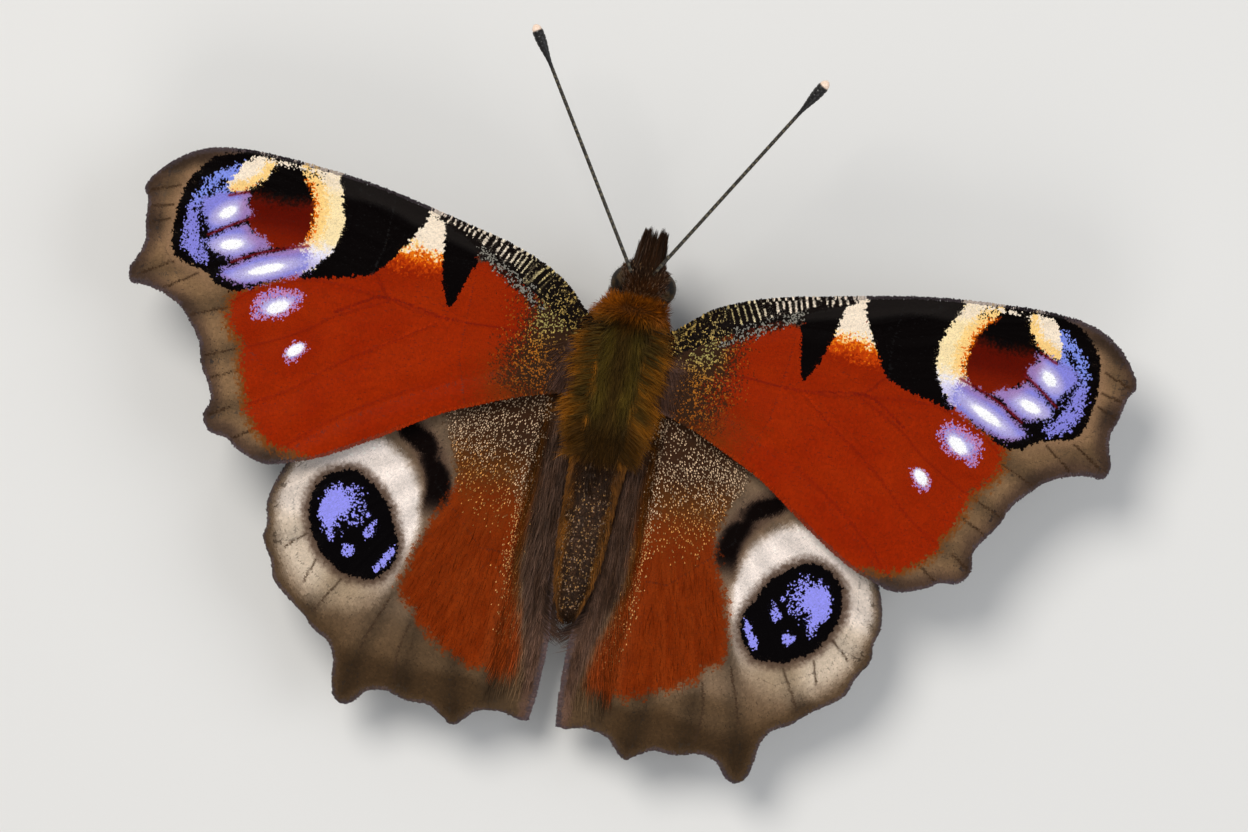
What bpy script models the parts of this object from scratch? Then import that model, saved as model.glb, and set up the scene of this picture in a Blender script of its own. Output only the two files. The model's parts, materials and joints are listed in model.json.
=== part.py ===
# Peacock butterfly (Aglais io), standing with its wings spread, as a still life-size model.
# +Y is forward, +X is the animal's right and +Z is up. The feet stand on z = 0.
# Every length below is in millimetres, and MM turns it into metres where a mesh is written.

import math

import bmesh
import bpy
from mathutils import Matrix, Vector, geometry

MM = 0.001
GAP = 0.3                   # clearance between neighbouring pieces

# Wings: each is drawn once, X outward from the midline and Y forward, and used on both sides.
MEMBRANE = 0.5              # thickness of a wing between its veins
VEIN_RISE = 0.15            # height of a vein above the membrane, on each face
VEIN_HALF_WIDTH = 0.38
VEIN_STEP = 1.7             # spacing of the points along a vein
VEIN_END_GAP = 0.45         # a vein stops this far inside the margin
MARGIN_STEP = 0.95          # spacing of the points round a wing
SHEET_STEP = 2.9            # spacing of the points between the veins
SHEET_CLEAR = 0.36          # share of that spacing which they keep from veins and margin
FLANK_CLEAR = 0.9           # share of the half width which a vein's foot keeps from other veins
ROOT_HEIGHT = 7.45          # height of the forewing where it leaves the thorax
SPAN_RISE = 0.05            # the wings rise a little at first
SPAN_DROOP = 0.0031         # and droop towards the tips
CHORD_SLOPE = 0.045         # and lie lower at the back
HINDWING_DROP = 1.18        # the hindwing lies below the forewing
BACK_DROOP = 0.0035         # the hindwing hangs behind this line
BACK_DROOP_FROM = -8.0
FOLD_X = 3.6                # inside this line the hindwing folds down beside the abdomen
FOLD_WIDTH = 2.6
FOLD_DEPTH = 1.3

FOREWING = {
    "skew": 0.055,          # the pair leans to the animal's right by this much for each mm forward
    "shift": 0.05,
    "outline": [
        [(1.6, 1.0), (2.0, 2.6), (3.0, 3.45), (5.0, 5.15), (8.0, 6.45), (12.0, 7.4), (18.0, 8.6),
         (24.0, 9.15), (27.0, 9.12), (29.0, 8.7), (30.6, 7.75), (31.7, 6.5), (32.12, 5.6),
         (31.75, 4.9), (31.62, 4.0), (31.5, 3.3), (31.25, 2.4), (31.45, 1.3), (31.8, 0.4),
         (31.55, -0.42), (30.6, -0.45), (29.2, -0.78), (28.0, -1.4), (27.2, -2.2), (26.25, -3.4),
         (25.85, -4.6), (25.1, -5.8), (24.65, -6.8), (24.85, -7.9), (24.3, -8.75), (23.1, -8.98),
         (22.3, -9.5), (20.5, -10.08), (19.2, -9.8), (17.2, -9.05), (15.0, -7.8), (13.0, -6.5),
         (10.5, -4.85), (8.0, -3.65), (5.5, -2.6), (3.2, -1.9), (1.6, -1.5)],
        [(1.6, -1.5), (1.6, 1.0)],
    ],
    "veins": {
        "subcosta": [(2.4, 2.2), (5.0, 4.3), (9.0, 6.05), (14.0, 7.6)],
        "radius": [(2.4, 1.7), (6.0, 3.7), (10.0, 5.2), (15.6, 5.6), (20.0, 6.9), (26.0, 8.0), (31.0, 7.2)],
        "radial_branch_1": [(10.0, 5.2), (14.0, 6.7), (18.5, 8.3)],
        "radial_branch_2": [(15.6, 5.6), (20.0, 7.7), (25.0, 8.9)],
        "radial_branch_5": [(20.0, 6.9), (23.5, 7.1), (26.0, 6.4), (29.5, 6.1), (31.8, 5.5)],
        "median_1": [(15.6, 5.6), (16.2, 4.4), (21.0, 5.2), (25.0, 4.8), (27.5, 3.7), (31.4, 3.4)],
        "median_2": [(16.2, 4.4), (16.6, 3.3), (21.0, 3.9), (24.0, 2.95), (25.6, 2.0), (31.6, 0.2)],
        "cubitus": [(2.4, 1.2), (5.5, 1.35), (11.2, 1.15), (14.8, 1.65), (16.6, 3.3)],
        "median_3": [(14.8, 1.65), (20.0, 1.9), (23.5, 0.6), (25.5, -0.9), (27.9, -1.5)],
        "cubital_1": [(14.8, 1.65), (18.0, 0.0), (20.3, -1.6), (23.4, -3.2), (25.9, -4.4)],
        "cubital_2": [(11.2, 1.15), (13.6, -0.5), (17.0, -2.8), (20.4, -5.6), (24.8, -7.8)],
        "anal": [(2.6, 0.6), (6.2, -0.6), (9.0, -1.9), (13.5, -4.3), (17.0, -6.7), (20.4, -9.9)],
    },
}

HINDWING = {
    "skew": 0.0,
    "shift": -0.3,
    "outline": [
        [(1.6, -4.6), (1.8, -3.6), (3.2, -2.9), (5.5, -2.1), (8.5, -2.0), (12.0, -3.3), (15.5, -5.5),
         (18.2, -8.2), (19.4, -10.4), (19.9, -12.4), (19.65, -13.8), (19.72, -14.7), (19.0, -16.0),
         (18.5, -17.3), (17.4, -18.2), (16.3, -19.0), (15.4, -19.85), (14.4, -20.4), (13.85, -21.4),
         (13.7, -22.6), (13.4, -23.7), (12.75, -24.15), (12.1, -23.85), (11.4, -23.05),
         (10.2, -22.75), (8.7, -23.12), (7.3, -23.1), (6.4, -23.6), (5.6, -24.05), (4.9, -23.5),
         (4.2, -22.85), (2.7, -22.62), (1.5, -22.95)],
        [(1.5, -22.95), (0.95, -22.9)],
        [(0.95, -22.9), (0.78, -21.5), (0.68, -19.0), (0.7, -17.2), (0.95, -15.0), (1.1, -12.0),
         (1.1, -8.0), (1.6, -4.6)],
    ],
    "veins": {
        "subcosta": [(2.6, -3.5), (6.5, -3.0), (11.0, -4.3), (15.5, -7.2), (19.2, -11.0)],
        "radius": [(2.6, -4.2), (8.0, -5.6), (13.0, -8.3), (17.0, -10.7), (19.8, -12.6)],
        "median_1": [(8.0, -5.6), (11.5, -9.6), (15.5, -12.9), (19.7, -14.8)],
        "median_2": [(8.0, -5.6), (8.9, -8.6), (11.6, -12.4), (14.2, -16.2), (16.3, -19.0)],
        "median_3": [(7.6, -10.0), (9.6, -13.6), (11.0, -16.9), (12.0, -20.0), (12.85, -24.1)],
        "cubitus": [(2.6, -4.9), (5.2, -7.4), (7.6, -10.0), (8.4, -14.6), (9.0, -18.2), (9.2, -22.95)],
        "cubital_2": [(5.2, -7.4), (6.3, -12.0), (6.3, -18.0), (5.6, -24.0)],
        "anal": [(2.9, -5.6), (4.3, -10.0), (4.2, -16.0), (3.3, -22.7)],
    },
}

# Head and body, fur included: y, then the centre's x and z, then the half width and half height.
BODY = [
    (-16.10, -0.10, 4.55, 0.30, 0.30),
    (-15.50, -0.10, 4.62, 0.80, 0.78),
    (-14.00, -0.10, 4.78, 1.28, 1.28),
    (-11.50, -0.10, 5.00, 1.66, 1.68),
    (-8.00, -0.10, 5.30, 1.80, 1.88),
    (-5.80, -0.05, 5.50, 1.95, 2.05),
    (-4.60, 0.00, 5.62, 2.42, 2.42),
    (-3.40, 0.00, 5.70, 2.90, 2.75),
    (-1.00, 0.00, 5.80, 3.12, 2.92),
    (1.50, 0.00, 5.85, 3.08, 2.92),
    (3.20, 0.05, 5.90, 2.74, 2.62),
    (4.30, 0.25, 5.95, 2.15, 2.10),
    (4.90, 0.42, 6.00, 1.72, 1.80),
    (5.80, 0.50, 6.00, 1.72, 1.74),
    (6.70, 0.52, 5.98, 1.36, 1.42),
    (7.20, 0.54, 5.92, 0.88, 0.98),
]
WAIST_Y = -5.2              # joint of abdomen and thorax
NECK_Y = 4.65               # joint of thorax and head
BODY_SIDES = 24
RING_STEP = 0.7
ABDOMEN_RINGS = [-6.5, -7.9, -9.3, -10.7, -12.0, -13.2, -14.3]   # grooves between the segments
GROOVE_DEPTH = 0.09
GROOVE_WIDTH = 0.22

HEAD_X = 0.5                # the head is turned a little to the right of the thorax
PALPS_X = 0.6               # and the palps a little further
EYE = {"out": 1.15, "y": 5.75, "z": 6.15, "radii": (0.95, 1.05, 1.12), "segments": 20, "rings": 12}

# Paths of the slender pieces: x, y, z and the radius, drawn for the right-hand side.
PALP = [(0.50, 6.45, 5.40, 0.36), (0.53, 7.20, 5.62, 0.38), (0.54, 8.10, 5.98, 0.38),
        (0.52, 8.75, 6.28, 0.30), (0.50, 9.05, 6.42, 0.16)]
PALP_BRISTLES = [(0.28, 9.25, 6.30), (0.46, 9.52, 6.58), (0.72, 9.42, 6.50)]
PALP_STEP = 0.5
BRISTLE = {"root": (0.5, 8.3, 6.05), "radius": 0.2, "tip": 0.02, "sides": 6}
ANTENNA_LEFT = {"base": (-0.42, 6.42, 7.15), "tip": (-9.50, 20.50, 9.45)}
ANTENNA_RIGHT = {"base": (0.90, 6.45, 7.15), "tip": (9.30, 20.50, 12.30)}
ANTENNA = {"shaft": 0.25, "club": 0.41, "end": 0.30, "club_from": 0.84, "club_full": 0.95, "bow": 0.35,
           "points": 16, "step": 1.4}
MIDLEG = [(1.20, 0.60, 3.90, 0.55), (1.75, 0.95, 2.55, 0.48), (2.30, 1.20, 2.75, 0.42),
          (5.20, 2.70, 4.85, 0.34), (5.60, 3.05, 4.55, 0.30), (7.25, 4.50, 0.90, 0.27),
          (7.70, 4.90, 0.20, 0.27), (8.50, 5.65, 0.18, 0.26), (9.50, 6.60, 0.18, 0.25)]
HINDLEG = [(1.20, -2.20, 3.80, 0.55), (1.75, -2.75, 2.45, 0.48), (2.25, -3.10, 2.55, 0.42),
           (4.90, -5.60, 4.10, 0.34), (5.20, -6.05, 3.85, 0.30), (6.55, -8.70, 0.90, 0.27),
           (6.80, -9.25, 0.20, 0.27), (7.30, -10.40, 0.18, 0.26), (7.80, -11.70, 0.18, 0.25)]
FORELEG = [(1.05, 2.70, 3.90, 0.42), (1.35, 3.30, 2.75, 0.36), (1.75, 4.35, 3.15, 0.33),
           (1.95, 4.75, 3.20, 0.33), (1.60, 5.90, 3.55, 0.30), (1.35, 6.70, 3.75, 0.26)]
LEG_STEP = 0.95
PROBOSCIS = {"y": 6.15, "z": 3.25, "outer": 0.80, "pitch": 0.80, "inward_from": 0.35, "turns": 1.35,
             "lead_in": 1.0, "radius": 0.25, "points": 26, "step": 0.4}
FLOOR = (40.0, 40.0, 4.0)   # the block below z = 0 that flattens the soles

COLOURS = {                 # base colour and roughness
    "forewing": ((0.30, 0.020, 0.002), 0.75),
    "hindwing": ((0.20, 0.022, 0.004), 0.75),
    "fur": ((0.055, 0.026, 0.006), 0.90),
    "abdomen": ((0.030, 0.016, 0.008), 0.85),
    "head": ((0.028, 0.015, 0.012), 0.85),
    "eye": ((0.010, 0.007, 0.006), 0.25),
    "palp": ((0.012, 0.006, 0.005), 0.80),
    "antenna": ((0.010, 0.008, 0.006), 0.55),
    "leg": ((0.040, 0.026, 0.016), 0.65),
    "proboscis": ((0.030, 0.014, 0.006), 0.45),
}


def clear_scene():
    for obj in list(bpy.data.objects):
        bpy.data.objects.remove(obj, do_unlink=True)


def new_collection(name):
    group = bpy.data.collections.new(name)
    bpy.context.scene.collection.children.link(group)
    return group


def new_object(name, data, group):
    obj = bpy.data.objects.new(name, data)
    group.objects.link(obj)
    return obj


def mesh_object(name, bm, group):
    """Write a bmesh drawn in millimetres as an object in metres."""
    bmesh.ops.scale(bm, vec=(MM, MM, MM), verts=bm.verts)
    bmesh.ops.recalc_face_normals(bm, faces=bm.faces)
    mesh = bpy.data.meshes.new(name)
    bm.to_mesh(mesh)
    bm.free()
    return new_object(name, mesh, group)


def paint(obj, finish):
    colour, roughness = COLOURS[finish]
    material = bpy.data.materials.new(obj.name)
    material.use_nodes = True
    shader = material.node_tree.nodes["Principled BSDF"]
    shader.inputs["Base Color"].default_value = (*colour, 1.0)
    shader.inputs["Roughness"].default_value = roughness
    shader.inputs["Metallic"].default_value = 0.0
    obj.data.materials.clear()
    obj.data.materials.append(material)


def shade(obj):
    obj.data.shade_smooth()
    obj.data.set_sharp_from_angle(angle=math.radians(40))


def as_cutter(obj):
    obj.hide_render = True
    obj.display_type = "WIRE"
    return obj


def cut(obj, *cutters):
    for cutter in cutters:
        modifier = obj.modifiers.new("Clear of " + cutter.name, "BOOLEAN")
        modifier.object = cutter
        modifier.solver = "EXACT"


def smooth_line(points, step):
    """Points about one step apart on a smooth curve through the given ones, of any dimension."""
    line = [Vector(points[0])]
    for i in range(len(points) - 1):
        before = Vector(points[max(i - 1, 0)])
        start, end = Vector(points[i]), Vector(points[i + 1])
        after = Vector(points[min(i + 2, len(points) - 1)])
        span = (end - start).length
        # Tangents are scaled to the span, so that uneven spacing makes no loops.
        lead_in = (end - before) * (span / max((start - before).length + span, 1e-9))
        lead_out = (after - start) * (span / max((after - end).length + span, 1e-9))
        count = max(1, round(span / step))
        for k in range(1, count + 1):
            t = k / count
            line.append(start * (2 * t**3 - 3 * t**2 + 1) + lead_in * (t**3 - 2 * t**2 + t)
                        + end * (3 * t**2 - 2 * t**3) + lead_out * (t**3 - t**2))
    return line


def smooth_step(value):
    value = min(max(value, 0.0), 1.0)
    return value * value * (3 - 2 * value)


# Body


def body_station(y):
    """Centre x, centre z, half width and half height of the body at y."""
    y = min(max(y, BODY[0][0]), BODY[-1][0])
    i = max(k for k in range(len(BODY) - 1) if BODY[k][0] <= y)
    before, start = Vector(BODY[max(i - 1, 0)]), Vector(BODY[i])
    end, after = Vector(BODY[i + 1]), Vector(BODY[min(i + 2, len(BODY) - 1)])
    span = end[0] - start[0]
    lead_in = (end - before) * (span / (end[0] - before[0]))
    lead_out = (after - start) * (span / (after[0] - start[0]))
    t = (y - start[0]) / span
    station = (start * (2 * t**3 - 3 * t**2 + 1) + lead_in * (t**3 - 2 * t**2 + t)
               + end * (3 * t**2 - 2 * t**3) + lead_out * (t**3 - t**2))
    return station[1], station[2], station[3], station[4]


def groove(y):
    nearest = min(abs(y - ring) for ring in ABDOMEN_RINGS)
    return GROOVE_DEPTH * max(0.0, 1 - nearest / GROOVE_WIDTH)


def body_piece(name, back, front, group, grow=0.0, grooved=False):
    """A closed length of the body, with a flat end at each joint."""
    count = round((front - back) / RING_STEP)
    levels = [back + (front - back) * k / count for k in range(count + 1)]
    if grooved:
        levels = [y for y in levels if min(abs(y - ring) for ring in ABDOMEN_RINGS) > 2 * GROOVE_WIDTH]
        levels += [ring + edge * GROOVE_WIDTH for ring in ABDOMEN_RINGS for edge in (-1, 0, 1)]
        levels.sort()
    bm = bmesh.new()
    rings = []
    for y in levels:
        x, z, half_width, half_height = body_station(y)
        inset = groove(y) if grooved else 0.0
        half_width += grow - inset
        half_height += grow - inset
        rings.append([bm.verts.new((x + half_width * math.cos(a), y, z + half_height * math.sin(a)))
                      for a in (2 * math.pi * k / BODY_SIDES for k in range(BODY_SIDES))])
    for lower, upper in zip(rings, rings[1:]):
        for k in range(BODY_SIDES):
            n = (k + 1) % BODY_SIDES
            bm.faces.new((lower[k], lower[n], upper[n], upper[k]))
    bm.faces.new(rings[0])
    bm.faces.new(rings[-1])
    return mesh_object(name, bm, group)


def ellipsoid(name, centre, radii, group, grow=0.0):
    bm = bmesh.new()
    bmesh.ops.create_uvsphere(bm, u_segments=EYE["segments"], v_segments=EYE["rings"], radius=1.0)
    bmesh.ops.scale(bm, vec=[r + grow for r in radii], verts=bm.verts)
    bmesh.ops.translate(bm, vec=centre, verts=bm.verts)
    return mesh_object(name, bm, group)


# Wings


def wing_height(plan, x, y):
    """Height of a wing's middle surface over its own drawing."""
    z = ROOT_HEIGHT + SPAN_RISE * x - SPAN_DROOP * x * x + CHORD_SLOPE * (y - 2.0)
    if plan is HINDWING:
        z -= HINDWING_DROP + BACK_DROOP * max(0.0, BACK_DROOP_FROM - y) ** 2
        z -= FOLD_DEPTH * smooth_step((FOLD_X - x) / FOLD_WIDTH)
    return z


def distance_to_line(point, line):
    best = 1e9
    for start, end in zip(line, line[1:]):
        near, t = geometry.intersect_point_line(point, start, end)
        t = min(max(t, 0.0), 1.0)
        best = min(best, (point.to_2d() - start.to_2d().lerp(end.to_2d(), t)).length)
    return best


def wing_outline(plan):
    loop = []
    for stretch in plan["outline"]:
        loop += smooth_line(stretch, MARGIN_STEP)[:-1]
    return loop


def vein_lines(plan, outline):
    closed = outline + outline[:1]
    lines = []
    for route in plan["veins"].values():
        line = smooth_line(route, VEIN_STEP)
        while distance_to_line(line[-1], closed) < VEIN_END_GAP:
            line.pop()
        lines.append(line)
    return lines


def wing_sheet(plan):
    """Points, triangles and vein weights of the flat drawing, with every vein as a row of edges."""
    outline = wing_outline(plan)
    closed = outline + outline[:1]
    veins = vein_lines(plan, outline)
    points = list(outline)
    edges = [(k, (k + 1) % len(outline)) for k in range(len(outline))]
    placed = []
    for line in veins:
        first = None
        for k, point in enumerate(line):
            same = next((i for i in placed if (points[i] - point).length < VEIN_HALF_WIDTH), None)
            if same is None:
                same = len(points)
                points.append(point)
                placed.append(same)
            if first is not None and first != same:
                edges.append((first, same))
            first = same
    for line in veins:
        for k, point in enumerate(line):
            ahead = line[min(k + 1, len(line) - 1)] - line[max(k - 1, 0)]
            across = Vector((-ahead.y, ahead.x)).normalized() * VEIN_HALF_WIDTH
            for flank in (point + across, point - across):
                clear = min(distance_to_line(flank, other) for other in veins) > VEIN_HALF_WIDTH * FLANK_CLEAR
                if clear and distance_to_line(flank, closed) > VEIN_HALF_WIDTH:
                    points.append(flank)
    low = Vector((min(p.x for p in outline), min(p.y for p in outline)))
    high = Vector((max(p.x for p in outline), max(p.y for p in outline)))
    for row in range(int((high.y - low.y) / SHEET_STEP) + 1):
        for column in range(int((high.x - low.x) / SHEET_STEP) + 1):
            spot = low + Vector((column + 0.5 * (row % 2), row)) * SHEET_STEP
            if min(distance_to_line(spot, line) for line in veins + [closed]) > SHEET_STEP * SHEET_CLEAR:
                points.append(spot)
    points, _, faces, _, _, _ = geometry.delaunay_2d_cdt(points, edges, [list(range(len(outline)))], 1, 1e-4)
    weights = [max(0.0, 1 - min(distance_to_line(p, line) for line in veins) / VEIN_HALF_WIDTH)
               for p in points]
    return points, faces, weights


def wing(name, plan, side, group, cutter):
    points, faces, weights = wing_sheet(plan)
    bm = bmesh.new()
    verts = [bm.verts.new((side * p.x + plan["shift"] + plan["skew"] * p.y, p.y, wing_height(plan, p.x, p.y)))
             for p in points]
    for face in faces:
        bm.faces.new([verts[k] for k in face])
    obj = mesh_object(name, bm, group)
    ridge = obj.vertex_groups.new(name="veins")
    for k, weight in enumerate(weights):
        ridge.add([k], weight, "REPLACE")
    crest = MEMBRANE + 2 * VEIN_RISE
    shell = obj.modifiers.new("Wing thickness", "SOLIDIFY")
    shell.thickness = crest * MM
    shell.offset = 0.0
    shell.vertex_group = ridge.name
    shell.thickness_vertex_group = MEMBRANE / crest
    cut(obj, cutter)
    return obj


# Slender pieces


def tube(name, path, group, step):
    """A round tube with flat closed ends, whose path gives x, y, z and radius."""
    curve = bpy.data.curves.new(name, "CURVE")
    curve.dimensions = "3D"
    curve.bevel_depth = MM
    curve.bevel_resolution = 2
    curve.use_fill_caps = True
    curve.twist_mode = "MINIMUM"
    points = smooth_line(path, step)
    spline = curve.splines.new("POLY")
    spline.points.add(len(points) - 1)
    for knot, point in zip(spline.points, points):
        knot.co = (point[0] * MM, point[1] * MM, point[2] * MM, 1.0)
        knot.radius = point[3]
    drawn = new_object(name + " curve", curve, group)
    bpy.context.view_layer.update()
    mesh = bpy.data.meshes.new_from_object(drawn.evaluated_get(bpy.context.evaluated_depsgraph_get()))
    bpy.data.objects.remove(drawn)
    bm = bmesh.new()
    bm.from_mesh(mesh)
    bmesh.ops.remove_doubles(bm, verts=bm.verts, dist=0.001 * MM)
    bmesh.ops.recalc_face_normals(bm, faces=bm.faces)
    bm.to_mesh(mesh)
    bm.free()
    mesh.name = name
    return new_object(name, mesh, group)


def on_side(path, side, centre=0.0):
    return [(centre + side * point[0], *point[1:]) for point in path]


def antenna_path(ends):
    """A straight shaft with a slight bow, which swells into a club near the tip."""
    base, tip = Vector(ends["base"]), Vector(ends["tip"])
    path = []
    for k in range(ANTENNA["points"] + 1):
        t = k / ANTENNA["points"]
        point = base.lerp(tip, t)
        point.z += ANTENNA["bow"] * math.sin(math.pi * t)
        swell = smooth_step((t - ANTENNA["club_from"]) / (ANTENNA["club_full"] - ANTENNA["club_from"]))
        radius = ANTENNA["shaft"] + (ANTENNA["club"] - ANTENNA["shaft"]) * swell
        path.append((*point, radius))
    path[-1] = (*tip, ANTENNA["end"])
    return path


def proboscis_path():
    """The tongue at rest: a flat coil in the plane between the palps, which starts at the head."""
    top = PROBOSCIS["z"] + PROBOSCIS["outer"] + PROBOSCIS["lead_in"]
    path = [(HEAD_X, PROBOSCIS["y"], top, PROBOSCIS["radius"])]
    for k in range(PROBOSCIS["points"] + 1):
        turn = PROBOSCIS["turns"] * k / PROBOSCIS["points"]
        reach = PROBOSCIS["outer"] - PROBOSCIS["pitch"] * max(0.0, turn - PROBOSCIS["inward_from"])
        angle = 2 * math.pi * turn
        path.append((HEAD_X, PROBOSCIS["y"] - reach * math.sin(angle),
                     PROBOSCIS["z"] + reach * math.cos(angle), PROBOSCIS["radius"]))
    return path


def palp(name, side, group, cutter):
    obj = tube(name, on_side(PALP, side, PALPS_X), group, PALP_STEP)
    bristles = new_collection(name + " bristles")
    for k, tip in enumerate(on_side(PALP_BRISTLES, side, PALPS_X)):
        root = Vector(on_side([BRISTLE["root"]], side, PALPS_X)[0])
        along = Vector(tip) - root
        bm = bmesh.new()
        bmesh.ops.create_cone(bm, cap_ends=True, segments=BRISTLE["sides"], radius1=BRISTLE["radius"],
                              radius2=BRISTLE["tip"], depth=along.length)
        turn = along.to_track_quat("Z", "Y").to_matrix().to_4x4()
        middle = Matrix.Translation(root + along / 2)
        bmesh.ops.transform(bm, matrix=middle @ turn, verts=bm.verts)
        mesh_object(f"{name} bristle {k}", bm, bristles)
    join = obj.modifiers.new("Bristles", "BOOLEAN")
    join.operation = "UNION"
    join.operand_type = "COLLECTION"
    join.collection = bristles
    join.solver = "EXACT"
    bpy.context.view_layer.update()
    fused = bpy.data.meshes.new_from_object(obj.evaluated_get(bpy.context.evaluated_depsgraph_get()))
    obj.modifiers.clear()
    obj.data = fused
    for bristle in list(bristles.objects):
        bpy.data.objects.remove(bristle)
    bpy.data.collections.remove(bristles)
    cut(obj, cutter)
    return obj


def leg(name, path, side, group, *cutters):
    obj = tube(name, on_side(path, side), group, LEG_STEP)
    cut(obj, *cutters)
    return obj


def floor_block(group):
    """Everything below z = 0, where the feet end in flat soles."""
    bm = bmesh.new()
    bmesh.ops.create_cube(bm, size=1.0)
    bmesh.ops.scale(bm, vec=FLOOR, verts=bm.verts)
    bmesh.ops.translate(bm, vec=(0, 0, -FLOOR[2] / 2), verts=bm.verts)
    return mesh_object("below_floor", bm, group)


def stand_at_origin(parts, cutters):
    """Put the middle of the whole outline over the origin, with the soles on z = 0."""
    bpy.context.view_layer.update()
    graph = bpy.context.evaluated_depsgraph_get()
    corners = [obj.matrix_world @ Vector(corner) for obj in parts.objects
               for corner in obj.evaluated_get(graph).bound_box]
    middle = [(min(c[k] for c in corners) + max(c[k] for c in corners)) / 2 for k in (0, 1)]
    empty = new_object("frame", None, cutters)
    for obj in list(parts.objects) + [o for o in cutters.objects if o is not empty]:
        obj.parent = empty
    empty.location = (-middle[0], -middle[1], 0.0)


def build():
    clear_scene()
    parts = new_collection("Peacock butterfly")
    cutters = new_collection("Cutters")

    around_body = as_cutter(body_piece("around_body", BODY[0][0] - GAP, BODY[-1][0] + GAP, cutters, grow=GAP))
    below_floor = as_cutter(floor_block(cutters))

    thorax = body_piece("thorax", WAIST_Y + GAP / 2, NECK_Y - GAP / 2, parts)
    paint(thorax, "fur")
    abdomen = body_piece("abdomen", BODY[0][0], WAIST_Y - GAP / 2, parts, grooved=True)
    paint(abdomen, "abdomen")
    head = body_piece("head", NECK_Y + GAP / 2, BODY[-1][0], parts)
    paint(head, "head")

    for side, label in ((-1, "left"), (1, "right")):
        centre = (HEAD_X + side * EYE["out"], EYE["y"], EYE["z"])
        eye = ellipsoid("eye_" + label, centre, EYE["radii"], parts)
        paint(eye, "eye")
        socket = as_cutter(ellipsoid("socket_" + label, centre, EYE["radii"], cutters, grow=GAP))
        cut(head, socket)

        paint(palp("palp_" + label, side, parts, around_body), "palp")
        ends = ANTENNA_LEFT if side < 0 else ANTENNA_RIGHT
        antenna = tube("antenna_" + label, antenna_path(ends), parts, ANTENNA["step"])
        cut(antenna, around_body)
        paint(antenna, "antenna")

        paint(wing("forewing_" + label, FOREWING, side, parts, around_body), "forewing")
        paint(wing("hindwing_" + label, HINDWING, side, parts, around_body), "hindwing")

        paint(leg("foreleg_" + label, FORELEG, side, parts, around_body), "leg")
        paint(leg("midleg_" + label, MIDLEG, side, parts, around_body, below_floor), "leg")
        paint(leg("hindleg_" + label, HINDLEG, side, parts, around_body, below_floor), "leg")

    proboscis = tube("proboscis", proboscis_path(), parts, PROBOSCIS["step"])
    cut(proboscis, around_body)
    paint(proboscis, "proboscis")

    for obj in parts.objects:
        shade(obj)
    stand_at_origin(parts, cutters)


build()
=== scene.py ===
import json
import math

import bpy
import numpy as np
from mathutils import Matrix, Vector, geometry

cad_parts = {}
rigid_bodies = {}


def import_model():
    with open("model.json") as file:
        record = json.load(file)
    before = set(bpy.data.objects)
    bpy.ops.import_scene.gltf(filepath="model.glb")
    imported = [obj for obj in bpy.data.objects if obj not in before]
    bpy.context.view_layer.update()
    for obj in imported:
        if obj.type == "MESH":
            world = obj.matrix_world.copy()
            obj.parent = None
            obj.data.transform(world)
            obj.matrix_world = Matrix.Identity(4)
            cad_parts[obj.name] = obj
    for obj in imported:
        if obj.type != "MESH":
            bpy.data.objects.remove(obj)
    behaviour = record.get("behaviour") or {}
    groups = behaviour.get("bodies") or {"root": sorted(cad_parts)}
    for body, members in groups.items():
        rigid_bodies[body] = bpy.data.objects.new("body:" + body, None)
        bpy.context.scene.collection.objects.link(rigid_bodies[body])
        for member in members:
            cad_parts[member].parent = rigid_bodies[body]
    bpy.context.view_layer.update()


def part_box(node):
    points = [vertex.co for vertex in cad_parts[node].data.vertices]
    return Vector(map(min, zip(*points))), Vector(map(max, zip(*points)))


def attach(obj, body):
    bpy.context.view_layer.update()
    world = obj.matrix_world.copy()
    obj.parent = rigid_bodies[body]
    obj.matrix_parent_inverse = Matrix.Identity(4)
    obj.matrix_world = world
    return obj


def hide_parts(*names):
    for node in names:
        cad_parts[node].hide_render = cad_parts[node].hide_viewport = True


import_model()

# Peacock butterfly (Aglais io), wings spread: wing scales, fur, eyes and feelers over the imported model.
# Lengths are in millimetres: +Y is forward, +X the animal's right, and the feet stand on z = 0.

mm = 0.001
thoraxLow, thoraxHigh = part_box("thorax")
thoraxBack = 5.05                                # the back of the thorax lies this far behind the drawing's origin
middle = np.array([(thoraxLow.x + thoraxHigh.x) / 2 / mm, thoraxLow.y / mm + thoraxBack, 0.0])
butterfly = bpy.data.collections.new("Peacock butterfly")
bpy.context.scene.collection.children.link(butterfly)


# Curves, distances and noise, all on arrays of points

def smoothStep(value):
    value = np.clip(value, 0.0, 1.0)
    return value * value * (3 - 2 * value)


def smoothLine(points, step, closed=False):
    knots = np.array(points, float)
    count = len(knots)
    line = [] if closed else [knots[0]]
    for i in range(count if closed else count - 1):
        if closed:
            before, start, end, after = (knots[(i + k) % count] for k in (-1, 0, 1, 2))
        else:
            before, start, end, after = (knots[min(max(i + k, 0), count - 1)] for k in (-1, 0, 1, 2))
        span = np.linalg.norm(end - start)
        leadIn = (end - before) * span / max(np.linalg.norm(start - before) + span, 1e-9)
        leadOut = (after - start) * span / max(np.linalg.norm(after - end) + span, 1e-9)
        pieces = max(1, round(span / step))
        for k in range(1, pieces + 1):
            t = k / pieces
            line.append(start * (2 * t**3 - 3 * t**2 + 1) + leadIn * (t**3 - 2 * t**2 + t)
                        + end * (3 * t**2 - 2 * t**3) + leadOut * (t**3 - t**2))
    return np.array(line)


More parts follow.
